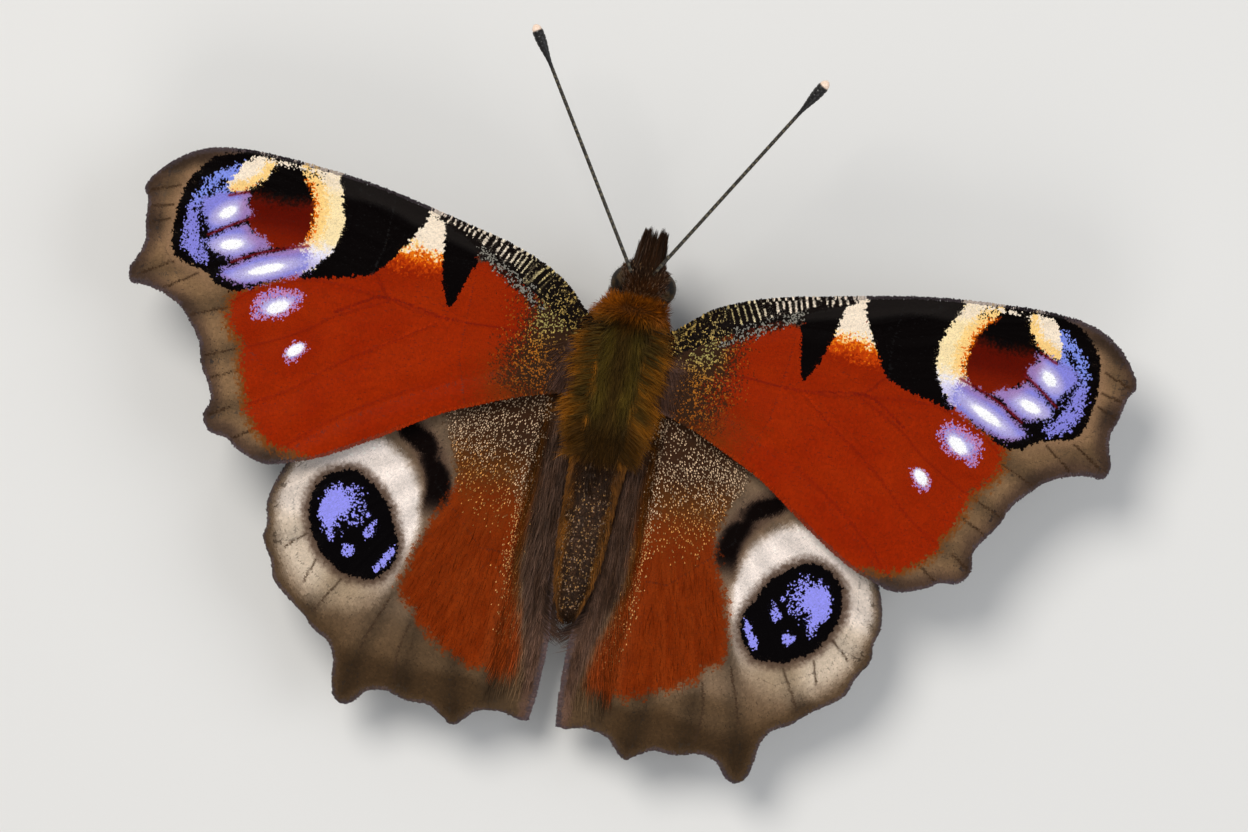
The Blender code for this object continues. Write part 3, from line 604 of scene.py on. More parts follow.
def wingHeight(wing, spots, face):
    # the upper (+1) or under (-1) face: pleats between the veins near the margin, and the veins as ribs
    form = wingForm
    toVein = readMap(wing, "vein map", spots)
    toEdge = readMap(wing, "edge map", spots)
    reach = smoothStep(1 - toEdge / form["pleat reach"]) + 0.2
    pleat = form["pleat"] * reach * (smoothStep(toVein / form["pleat half"]) - 0.5)
    pleat *= smoothStep(toEdge / 0.8) * 0.6 + 0.4
    rib = form["vein rise"][face] * np.exp(-(toVein / form["vein half width"]) ** 2)
    half = (form["half thickness"] + rib) * smoothStep(toEdge / 0.5 + 0.3)
    return wingMiddle(wing, spots[:, 0], spots[:, 1]) + pleat + face * half


def wingPoints(wing, side, spots, z):
    x, y = spots.T
    return np.stack([side * x + wing["shift"] + wing["skew"] * y, y, z], 1)


def wingFrame(wing, side, spots, face):
    # places, outward normals and the direction from the wing's root, in the body's own axes
    small = 0.05
    z = wingHeight(wing, spots, face)
    slopeX = (wingHeight(wing, spots + (small, 0), face) - z) / small
    slopeY = (wingHeight(wing, spots + (0, small), face) - z) / small
    normal = unit(np.stack([-side * slopeX, -(slopeY - wing["skew"] * slopeX), np.ones(len(z))], 1)) * face
    out = unit(spots - np.array(wing["root"]))
    lie = np.stack([side * out[:, 0] + wing["skew"] * out[:, 1], out[:, 1], np.zeros(len(z))], 1)
    lie = unit(lie - normal * (lie * normal).sum(1, keepdims=True))
    return wingPoints(wing, side, spots, z), normal, lie


def wingUnwrap(wing, spots, face):
    # the upper face fills the upper half of the map and the under face the lower half
    share = (spots - wing["low"]) / (wing["high"] - wing["low"])
    return np.stack([0.01 + 0.98 * share[:, 0], 0.01 + 0.48 * share[:, 1] + (0.5 if face > 0 else 0)], 1)


def gridSpots(wing, pitch, draw, jitter=0.22):
    low, high = wing["low"], wing["high"]
    rows = int((high[1] - low[1]) / (pitch * 0.866)) + 1
    columns = int((high[0] - low[0]) / pitch) + 1
    j, i = np.mgrid[0:rows, 0:columns]
    spots = np.stack([low[0] + (i + 0.5 * (j % 2)) * pitch, low[1] + j * pitch * 0.866], -1).reshape(-1, 2)
    if draw is not None:
        spots = spots + (draw.rand(len(spots), 2) - 0.5) * pitch * 2 * jitter
    return spots


def wingSkin(wing, side, painters, material):
    # a thin closed sheet with ribs, from one net of triangles used for both faces
    form = wingForm
    edge = wing["skin edge"]
    spots = [edge]
    for line in wing["vein lines"]:
        fine = smoothLine(line, 0.3)
        ahead = unit(np.gradient(fine, axis=0))
        aside = np.stack([-ahead[:, 1], ahead[:, 0]], 1)
        spots += [fine] + [fine + aside * offset for offset in (-0.16, 0.16)]
    net = gridSpots(wing, form["net step"], None)
    spots.append(net[nearLines(net, wing["vein lines"]) > 0.3])
    loose = np.vstack(spots[1:])
    loose = loose[depthInside(loose, edge) > 0.1]
    flat = [Vector(p) for p in np.vstack([edge, loose])]
    rim = [(k, (k + 1) % len(edge)) for k in range(len(edge))]
    flat, _, faces, _, _, _ = geometry.delaunay_2d_cdt(flat, rim, [list(range(len(edge)))], 1, 1e-4)
    spots = np.array([p[:] for p in flat])
    faces = np.array(faces)
    count = len(spots)
    bottom = faces[:, ::-1] + count
    border = np.array([(a, b, b + count, a + count) for a, b in rim])
    walls = np.vstack([border[:, (1, 0, 3)], border[:, (1, 3, 2)]])
    triangles = np.vstack([faces, bottom, walls])
    turned = np.cross(spots[faces[:, 1]] - spots[faces[:, 0]], spots[faces[:, 2]] - spots[faces[:, 0]]).sum() < 0
    if turned:
        triangles = triangles[:, ::-1]
    if side < 0:
        triangles = triangles[:, ::-1]
    points, paint, unwrap = [], [], []
    for face in (1, -1):
        points.append(wingPoints(wing, side, spots, wingHeight(wing, spots, face)))
        paint.append(painters[face](wing, spots, None, 1) * 0.8)
        unwrap.append(wingUnwrap(wing, spots, face))
    unwrap = np.vstack(unwrap)[triangles.ravel()].reshape(-1, 3, 2)
    wallRows = slice(len(faces) * 2, None)
    upper = np.where(triangles[wallRows] >= count, triangles[wallRows] - count, triangles[wallRows])
    unwrap[wallRows] = wingUnwrap(wing, spots, 1)[upper]
    name = wing["name"] + ("_right" if side > 0 else "_left")
    return newPiece(name + "_membrane", np.vstack(points), triangles, material, wing["name"], (name,),
                    np.vstack(paint), unwrap.reshape(-1, 2), smooth=True)


def scaleCoat(wing, side, face, spots, painter, seed, size):
    draw = np.random.RandomState(seed)
    spots = spots[depthInside(spots, wing["skin edge"]) > size["inset"]]
    roots, normal, lie = wingFrame(wing, side, spots, face)
    across = np.cross(normal, lie)
    turn = (draw.rand(len(spots)) - 0.5) * 2 * scaleForm["yaw"]
    lie = lie * np.cos(turn)[:, None] + across * np.sin(turn)[:, None]
    vary = 0.9 + 0.2 * draw.rand(len(spots))
    paint = finishPaint(painter(wing, spots, draw, seed), scaleForm["shade spread"], draw)
    return wingScales(roots, lie, normal, size["length"] * vary, size["width"] * vary,
                      scaleForm["lift"] * (0.7 + 0.6 * draw.rand(len(spots))), paint,
                      wingUnwrap(wing, spots, face))


def stripWidth(travel):
    return np.interp(travel, stripForm["travel"], stripForm["width"])


def inStrip(wing, spots):
    below, travel = nearLine(spots, wing["costa line"])
    return (below < stripWidth(travel)) & (travel > 0.05) & (travel < stripForm["travel"][-1])


def stripSpots(wing, draw):
    # rows that follow the front edge, so that the stripes come out clean
    size = scaleForm["strip"]
    line = smoothLine(wing["costa"], size["pitch"])
    travel = np.append(0, np.cumsum(np.linalg.norm(np.diff(line, axis=0), axis=1)))
    line, travel = (v[travel < stripForm["travel"][-1]] for v in (line, travel))
    ahead = unit(np.gradient(line, axis=0))
    down = np.stack([ahead[:, 1], -ahead[:, 0]], 1)
    width = stripWidth(travel)
    spots = []
    for k in range(int(width.max() / size["row"]) + 1):
        below = (k + 0.5) * size["row"]
        row = line + down * below + ahead * (0.5 * (k % 2) * size["pitch"])
        spots.append(row[below < width])
    spots = np.vstack(spots)
    return spots + (draw.rand(len(spots), 2) - 0.5) * 0.015


def upperScales(wing, side, painter, seed):
    draw = np.random.RandomState(seed)
    coats = []
    for kind in ("plain", "fine"):
        spots = gridSpots(wing, scaleForm[kind]["pitch"], draw)
        zones = [depthInside(spots, np.array(zone, float), 0.1) for zone in wing["fine zones"]]
        spots = spots[(np.max(zones, axis=0) > 0) == (kind == "fine")]
        if not wing["hind"]:
            spots = spots[~inStrip(wing, spots)]
        coats.append(scaleCoat(wing, side, 1, spots, painter, seed, scaleForm[kind]))
    if not wing["hind"]:
        coats.append(scaleCoat(wing, side, 1, stripSpots(wing, draw), painter, seed, scaleForm["strip"]))
    return joinShapes(coats)


def fringeCoat(wing, side, painter, seed):
    # long narrow scales along the outer margin, two rows on each face
    draw = np.random.RandomState(seed)
    edge = outlineOf(wing, 0.062)
    ahead = unit(np.roll(edge, -1, axis=0) - np.roll(edge, 1, axis=0))
    outward = np.stack([-ahead[:, 1], ahead[:, 0]], 1)
    shapes = []
    for face in (1, -1):
        for inset, length in ((0.30, 0.34), (0.22, 0.30)):
            spots = edge - outward * (inset + 0.06 * draw.rand(len(edge), 1))
            roots, normal, _ = wingFrame(wing, side, spots, face)
            lie = np.stack([side * outward[:, 0] + wing["skew"] * outward[:, 1], outward[:, 1],
                            -0.25 * face * np.ones(len(edge))], 1)
            turn = (draw.rand(len(edge), 1) - 0.5) * 0.5
            lie = unit(lie + np.cross(normal, lie) * turn)
            grey = 0.45 * smoothStep((np.hypot(*spots.T) - 13) / 4)
            paint = mixPaint(painter(wing, spots, draw, seed), wing["colours"]["fringe"], grey)
            paint = finishPaint(paint, 0.3, draw)
            long = length * (0.8 + 0.35 * draw.rand(len(edge)))
            shapes.append(wingScales(roots, lie, normal, long, np.full(len(edge), 0.1),
                                     0.02 * (1 + draw.rand(len(edge))), paint, wingUnwrap(wing, spots, face)))
    return joinShapes(shapes)


def spotGlow(spots, centre, halfLength, halfWidth, turn):
    # 1 at the middle of an oval, 0 on its edge and below 0 outside
    c, s = math.cos(math.radians(turn)), math.sin(math.radians(turn))
    x, y = (spots - np.array(centre)).T
    return 1 - np.hypot((x * c + y * s) / halfLength, (y * c - x * s) / halfWidth)


def within(site, name, soft, ragged=0.0, grow=0.0):
    # 1 inside a drawn shape and 0 outside it, over a soft and ragged edge
    return smoothStep((site["depth"][name] + grow + ragged * site["rough"]) / soft + 0.5)


def survey(wing, spots, seed):
    # what the markings need to know about each spot
    x, y = spots.T
    reach = np.hypot(x - wing["hub"][0], y - wing["hub"][1])
    angle = np.arctan2(y - wing["hub"][1], x - wing["hub"][0])
    return {
        "x": x, "y": y, "spots": spots, "seed": seed,
        "depth": {name: depthInside(spots, loop) for name, loop in wing["loops"].items()},
        "rough": softNoise(spots, 0.14, seed) - 0.5,
        "fine": softNoise(spots, 0.10, seed + 1) - 0.5,
        "streak": softNoise(np.stack([angle * 60, reach], 1), 1.1, seed + 2) - 0.5,
        "cloud": softNoise(spots, 1.8, seed + 3) - 0.5,
        "to edge": readMap(wing, "edge map", spots), "to vein": readMap(wing, "vein map", spots),
    }


def nearDrawn(site, lines):
    return np.min([nearLine(site["spots"], smoothLine(line, 0.3))[0] for line in lines], axis=0)


def paintForewing(wing, spots, draw, seed):
    site = survey(wing, spots, seed)
    paint = paintForeMargin(wing, site, draw)
    paint = paintForeField(wing, site, draw, paint)
    paint = paintFrontEdge(wing, site, draw, paint)
    paint = paintForeEye(wing, site, draw, paint)
    return paintForeSpots(wing, site, draw, paint)


def paintForeMargin(wing, site, draw):
    hue = wing["colours"]
    x, y, cloud, toEdge = site["x"], site["y"], site["cloud"], site["to edge"]
    paint = mixPaint(hue["margin outer"], hue["margin inner"], smoothStep((toEdge - 0.4 + 0.5 * cloud) / 1.1))
    # painted light and shade of the pleats: the margin is painted lighter on the bulges between the veins and darker
    # towards the veins
    pleat = smoothStep(site["to vein"] / 1.1) - 0.55
    tip = smoothStep((x - 27.5) / 2) * smoothStep((y - 5.8) / 1.5)
    paint = paint * (1 + 0.26 * pleat + 0.2 * cloud + 0.12 * site["rough"] - 0.2 * tip)[:, None]
    beside = smoothStep(1 + site["depth"]["eye black"] / 1.0) * smoothStep((x - 25.5) / 2)
    paint = mixPaint(paint, hue["tan"], 0.85 * beside * smoothStep((8.2 - y) / 1.2))
    paint = mixPaint(paint, hue["vein"], 0.8 * np.exp(-(nearDrawn(site, wing["margin lines"]) / 0.07) ** 2))
    return mixPaint(paint, hue["rim"], 0.85 * smoothStep((0.45 - toEdge + 0.2 * site["rough"]) / 0.3))


def curls(spots, size, width, seed):
    # a net of thin curly lines
    return smoothStep((width - np.abs(softNoise(spots, size, seed) - 0.5)) / 0.04)


def paintForeField(wing, site, draw, paint):
    # the red field, its brownish hind part and the gold-flecked base
    hue = wing["colours"]
    x, y, spots, cloud, seed = site["x"], site["y"], site["spots"], site["cloud"], site["seed"]
    paint = cover(paint, hue["edge orange"], within(site, "field", 0.8, 0.5, 0.35), draw, 0.4)
    red = mixPaint(hue["red"], hue["red pale"], np.clip(0.5 + cloud + 0.5 * site["streak"], 0, 1))
    red = red * (1 + 0.05 * site["rough"])[:, None]
    red = mixPaint(red, hue["cell line"], 0.45 * np.exp(-(site["to vein"] / 0.07) ** 2) * smoothStep((x - 11) / 2))
    paint = cover(paint, red, within(site, "field", 0.5, 0.5), draw, 0.7)
    trailing = smoothStep((10.5 - x + cloud) / 5) * smoothStep((0.6 - y) / 3.0)
    paint = cover(paint, hue["red brown"], 0.85 * trailing, draw, 0.3)
    cell = nearDrawn(site, [wing["cell line"]])
    paint = mixPaint(paint, hue["cell line"], 0.8 * np.exp(-(cell / 0.06) ** 2))
    branch = nearDrawn(site, [wing["spot line"]])
    paint = mixPaint(paint, np.array(hue["red pale"]) * 1.15, 0.5 * np.exp(-(branch / 0.05) ** 2))

    dark = smoothStep((8.2 - x + 1.2 * cloud + 1.2 * site["rough"]) / 3.0) * smoothStep((y + 3.2) / 1.6)
    paint = cover(paint, hue["base"], dark, draw, 0.6)
    share = smoothStep((x - 3.0) / 1.4) * smoothStep((8.6 - x) / 3.6) * smoothStep((y + 3.0) / 1.8)
    clumps = 0.12 + 0.88 * np.maximum(curls(spots, 0.22, 0.075, seed + 4), curls(spots, 0.26, 0.05, seed + 14))
    sulphur = smoothStep((y - 0.4) / 1.8) * smoothStep((6.8 - x) / 1.5)
    fleck = mixPaint(hue["fleck gold"], hue["fleck sulphur"], sulphur) * (1 + 0.5 * site["fine"][:, None])
    fleck = mixPaint(fleck, hue["fleck rust"], 0.8 * smoothStep((x - 5.8) / 1.6))
    fleck = mixPaint(fleck, hue["red brown"], 0.45 * smoothStep((0.6 - y) / 2.2))
    paint = cover(paint, fleck, 0.76 * share * clumps, draw)
    purple = smoothStep((4.2 - x + cloud) / 0.9) * smoothStep((2.0 - y) / 1.2)
    return cover(paint, hue["base purple"], 0.85 * purple, draw, 0.5)


def paintFrontEdge(wing, site, draw, paint):
    # black triangle and patch, with a painted grey sheen on the black along the front edge, the cream spot between
    # them, and the striped strip
    hue = wing["colours"]
    x, y, spots, seed = site["x"], site["y"], site["spots"], site["seed"]
    black = np.maximum(within(site, "triangle", 0.14, 0.2), within(site, "patch", 0.12, 0.16))
    greyLeft = smoothStep((10.7 - x) / 0.6) * smoothStep((y - 4.9) / 0.4)
    paint = cover(paint, hue["shadow"], within(site, "triangle", 0.4, 0.2, 0.1) * greyLeft, draw, 0.3)
    paint = cover(paint, hue["black"], black * (1 - 0.7 * greyLeft), draw)
    # painted sheen: above this line the black is painted grey, towards the front edge
    sheenLine = np.interp(x, (9, 12.7, 14.8, 16, 17, 21), (4.9, 5.9, 6.35, 6.8, 7.05, 7.3))
    paint = mixPaint(paint, hue["band"], 0.9 * black * smoothStep((y - sheenLine) / 0.5))

    shade = y + 1.0 * site["fine"] + 0.6 * site["streak"]
    colour = mixPaint(hue["red"], hue["deep orange"], smoothStep((shade - 3.5) / 0.7))
    colour = cover(colour, hue["orange"], smoothStep((shade - 4.1) / 0.8), draw)
    colour = cover(colour, hue["yellow"], smoothStep((shade - 4.75) / 0.4), draw)
    colour = cover(colour, hue["cream"], smoothStep((shade - 5.05) / 0.4), draw)
    paint = cover(paint, colour, within(site, "costal spot", 0.12, 0.3), draw)

    below, travel = nearLine(spots, wing["costa line"])
    width = stripWidth(travel)
    strip = smoothStep((width * 0.97 - below + 0.2 * site["rough"]) / 0.12) * (travel < 13.9)
    paint = cover(paint, hue["strip"], strip * smoothStep((13.0 - travel) / 0.5), draw)
    warp = softNoise(np.stack([travel, below * 0.4], 1), 0.8, seed + 5) - 0.5
    phase = (travel - 0.1 * below) / stripForm["bar pitch"] + 0.7 * warp
    uneven = softNoise(np.stack([travel, below * 0.7], 1), 0.3, seed + 6)
    half = 0.12 + 0.05 * smoothStep((travel - 5.5) / 3) + 0.12 * (uneven - 0.5)
    bar = smoothStep((half - np.abs(phase % 1 - 0.5)) / 0.05 + 0.5) * smoothStep((uneven - 0.20) / 0.1)
    worm = np.maximum(curls(spots * (1.0, 0.8), 0.24, 0.055, seed + 7), curls(spots, 0.20, 0.045, seed + 17))
    barred = smoothStep((travel - stripForm["first bars"] + 3 * warp) / 1.2)
    inner = width * (0.70 + 0.35 * (1 - barred))
    lower = smoothStep((inner - below + 0.4 * site["fine"]) / 0.12) * smoothStep((below - 0.13) / 0.08)
    barColour = mixPaint(hue["gold"], hue["cream"], smoothStep((travel - 1.5) / 5.0))
    barColour = mixPaint(barColour, hue["sulphur"], 0.6 * smoothStep((8.0 - travel) / 3))
    mark = barred * bar + (1 - barred) * worm
    end = smoothStep((13.9 - travel) / 0.5)
    paint = mixPaint(paint, barColour * (0.94 + 0.4 * site["fine"][:, None]), 0.96 * strip * mark * lower * end)
    net = smoothStep((below - inner) / 0.1) * smoothStep((width * 1.35 - below + 0.5 * site["fine"]) / 0.4)
    net *= smoothStep((travel - 2.6) / 0.8) * smoothStep((9.9 - travel) / 0.8)
    dashes = smoothStep((softNoise(np.stack([travel * 0.8, below], 1), 0.11, seed + 8) - 0.40) / 0.2)
    paint = cover(paint, hue["strip"], 0.75 * net, draw, 0.4)
    return cover(paint, hue["fleck grey"], 0.66 * net * dashes, draw)


def paintForeEye(wing, site, draw, paint):
    # black ground, blue scales, lilac bands, cream ring and dark core
    hue = wing["colours"]
    x, y, spots, depth, seed = site["x"], site["y"], site["spots"], site["depth"], site["seed"]
    rough, fine = site["rough"], site["fine"]
    paint = cover(paint, hue["black"], within(site, "eye black", 0.2, 0.2), draw)
    blue = mixPaint(hue["violet"], hue["blue"], smoothStep((y - 4.4) / 1.8))
    gully = nearDrawn(site, [wing["gully"]])
    dense = smoothStep(depth["blue"] / 0.7 + 0.2)
    chance = within(site, "blue", 0.3, 0.5) * (0.62 + 0.38 * dense) * (1 - 0.85 * np.exp(-(gully / 0.25) ** 2))
    paint = cover(paint, blue, chance * smoothStep((softNoise(spots, 0.12, seed + 9) - 0.16) / 0.15), draw)

    ring = within(site, "ring", 0.12, 0.3)
    gap = -depth["core"] + 0.55 * fine + 0.3 * rough
    low = smoothStep((y - 3.5 + rough) / 0.6)
    paint = cover(paint, hue["ring"], ring, draw)
    paint = cover(paint, hue["cream"], 0.8 * ring * smoothStep((y - 7.2) / 0.9), draw, 0.4)
    paint = cover(paint, hue["yellow"], ring * low * smoothStep((1.2 - gap) / 0.5), draw, 0.5)
    paint = cover(paint, hue["orange"], 0.9 * ring * low * smoothStep((0.50 - gap) / 0.4) * (y < 8.1), draw)
    paint = cover(paint, hue["ring brown"], ring * low * smoothStep((0.14 - gap) / 0.2) * (y < 8.3), draw)
    pale = mixPaint(hue["white"], hue["lilac"], 0.25 + 0.6 * smoothStep((3.9 - y) / 1.3))
    paint = cover(paint, pale, ring * smoothStep((4.7 - y + 0.8 * rough) / 1.4), draw, 0.3)

    upper = within(site, "upper cream", 0.12, 0.35)
    inner = nearDrawn(site, [[(24.3, 8.5), (24.5, 7.9), (24.95, 7.25), (25.6, 6.75), (26.4, 6.4)]]) - 0.5 * fine
    paint = cover(paint, hue["cream"], upper, draw)
    paint = cover(paint, hue["yellow"], upper * smoothStep((0.8 - inner) / 0.4), draw, 0.6)
    paint = cover(paint, hue["orange"], 0.6 * upper * smoothStep((0.08 - inner) / 0.2) * (y < 8), draw)

    core = mixPaint(hue["maroon low"], hue["maroon"], smoothStep((y - 3.8) / 1.6))
    core = mixPaint(core, hue["black"], smoothStep((y - 5.75 - 0.1 * (x - 23.5) ** 2 + 0.6 * fine) / 1.2))
    paint = cover(paint, core, within(site, "core", 0.14, 0.3), draw)

    glow = np.max([spotGlow(spots, *white) for white in wing["whites"]], axis=0)
    lilac = np.maximum.reduce([within(site, "lilac " + k, 0.3 if k == "A" else 0.4, 0.5) for k in "ABC"])
    inside = np.maximum.reduce([depth["lilac " + k] for k in "ABC"])
    colour = mixPaint(hue["violet"], hue["lilac"], smoothStep((glow + 1.7) / 1.2))
    pinkish = smoothStep((0.9 + depth["core"]) / 0.8) + smoothStep((0.45 - inside) / 0.4) * smoothStep((27 - x) / 2)
    colour = mixPaint(colour, hue["pink lilac"], 0.6 * np.clip(pinkish, 0, 1))
    fade = smoothStep((x - 20.3 + 0.5 * rough) / 1.3)
    paint = cover(paint, colour, fade * lilac * (0.45 + 0.55 * smoothStep(inside / 0.4 + 0.2)), draw, 0.7)
    specks = smoothStep((y - 7.7) / 0.5) * smoothStep((x - 20.8) / 0.7) * smoothStep((24.6 - x) / 1.0)
    paint = cover(paint, hue["black"], 0.45 * specks * (softNoise(spots, 0.14, seed + 10) > 0.45), draw)
    top = np.exp(-((y - 8.7) / 0.16) ** 2) * smoothStep((x - 20.6) / 0.3) * smoothStep((26.0 - x) / 0.5)
    paint = cover(paint, hue["cream"], top * (softNoise(spots, 0.12, seed + 11) > 0.5), draw)
    # painted sheen: a grey band painted along the top edge of the eyespot, at the front edge
    return mixPaint(paint, hue["band"], 0.9 * smoothStep((y - 8.90) / 0.1) * (x > 19.5) * (x < 27))


def paintForeSpots(wing, site, draw, paint):
    # the halo, the small spot, and the white centres with their pale glow
    hue = wing["colours"]
    depth = site["depth"]
    halo = np.maximum(within(site, "halo", 0.25, 0.4), within(site, "small spot", 0.2, 0.3))
    inside = np.maximum(depth["halo"], depth["small spot"])
    paint = cover(paint, np.array(hue["pink lilac"]) * 1.12, halo * (0.45 + 0.45 * smoothStep(inside / 0.6)), draw)
    paint = cover(paint, hue["violet"], 0.3 * halo * (0.3 + 0.7 * smoothStep(inside / 0.5)), draw)
    paint = cover(paint, hue["lilac"], halo * smoothStep((inside - 0.35) / 0.5), draw, 0.7)
    lilac = np.maximum.reduce([within(site, "lilac " + k, 0.2) for k in "ABC"] + [halo])
    glowColour = mixPaint(hue["lilac"], hue["white"], np.full(len(halo), 0.5))
    for centre, halfLength, halfWidth, turn in wing["whites"]:
        glow = spotGlow(site["spots"], centre, halfLength, halfWidth, turn)
        paint = cover(paint, glowColour, 0.85 * smoothStep((glow + 0.6) / 0.7) * lilac, draw, 0.4)
        paint = cover(paint, hue["white"], smoothStep((glow + 0.15) / 0.35), draw, 0.4)
    thin = nearDrawn(site, wing["red lines"])
    return mixPaint(paint, hue["line"], 0.85 * np.exp(-(thin / 0.085) ** 2))


def paintUnder(wing, spots, draw, seed):
    # dark brown with fine wavy cross lines, and paler towards the tip and the outer band
    x, y = spots.T
    hue = wing["colours"]
    root = np.array(wing["root"])
    reach = np.hypot(*(spots - root).T)
    toEdge = readMap(wing, "edge map", spots)
    wave = softNoise(spots, 1.3, seed + 20) * 3.0 + softNoise(spots, 0.45, seed + 21) * 0.8
    line = np.abs(((reach + wave) / 0.62) % 1 - 0.5) * 2
    paint = evenPaint(hue["under"], len(x))
    paint = mixPaint(paint, (62, 48, 38), smoothStep((line - 0.35) / 0.4) * 0.7)
    paint = mixPaint(paint, hue["under band"], 0.55 * smoothStep((2.6 - toEdge) / 0.8) * smoothStep((line - 0.2) / 0.5))
    if not wing["hind"]:
        paint = mixPaint(paint, (112, 92, 66), 0.6 * smoothStep((x - 23) / 5) * smoothStep((y - 1) / 3) * line)
        paint = mixPaint(paint, (96, 80, 60), 0.5 * smoothStep((1.2 - nearLine(spots, wing["costa line"])[0]) / 0.6) * line)
    else:
        paint = cover(paint, (205, 195, 180), smoothStep((0.2 - np.hypot(x - 11.2, y + 8.6)) / 0.08), draw)
    paint = mixPaint(paint, (20, 14, 12), 0.7 * smoothStep((0.5 - toEdge) / 0.3))
    return mixPaint(paint, (24, 17, 13), 0.6 * np.exp(-(readMap(wing, "vein map", spots) / 0.12) ** 2))


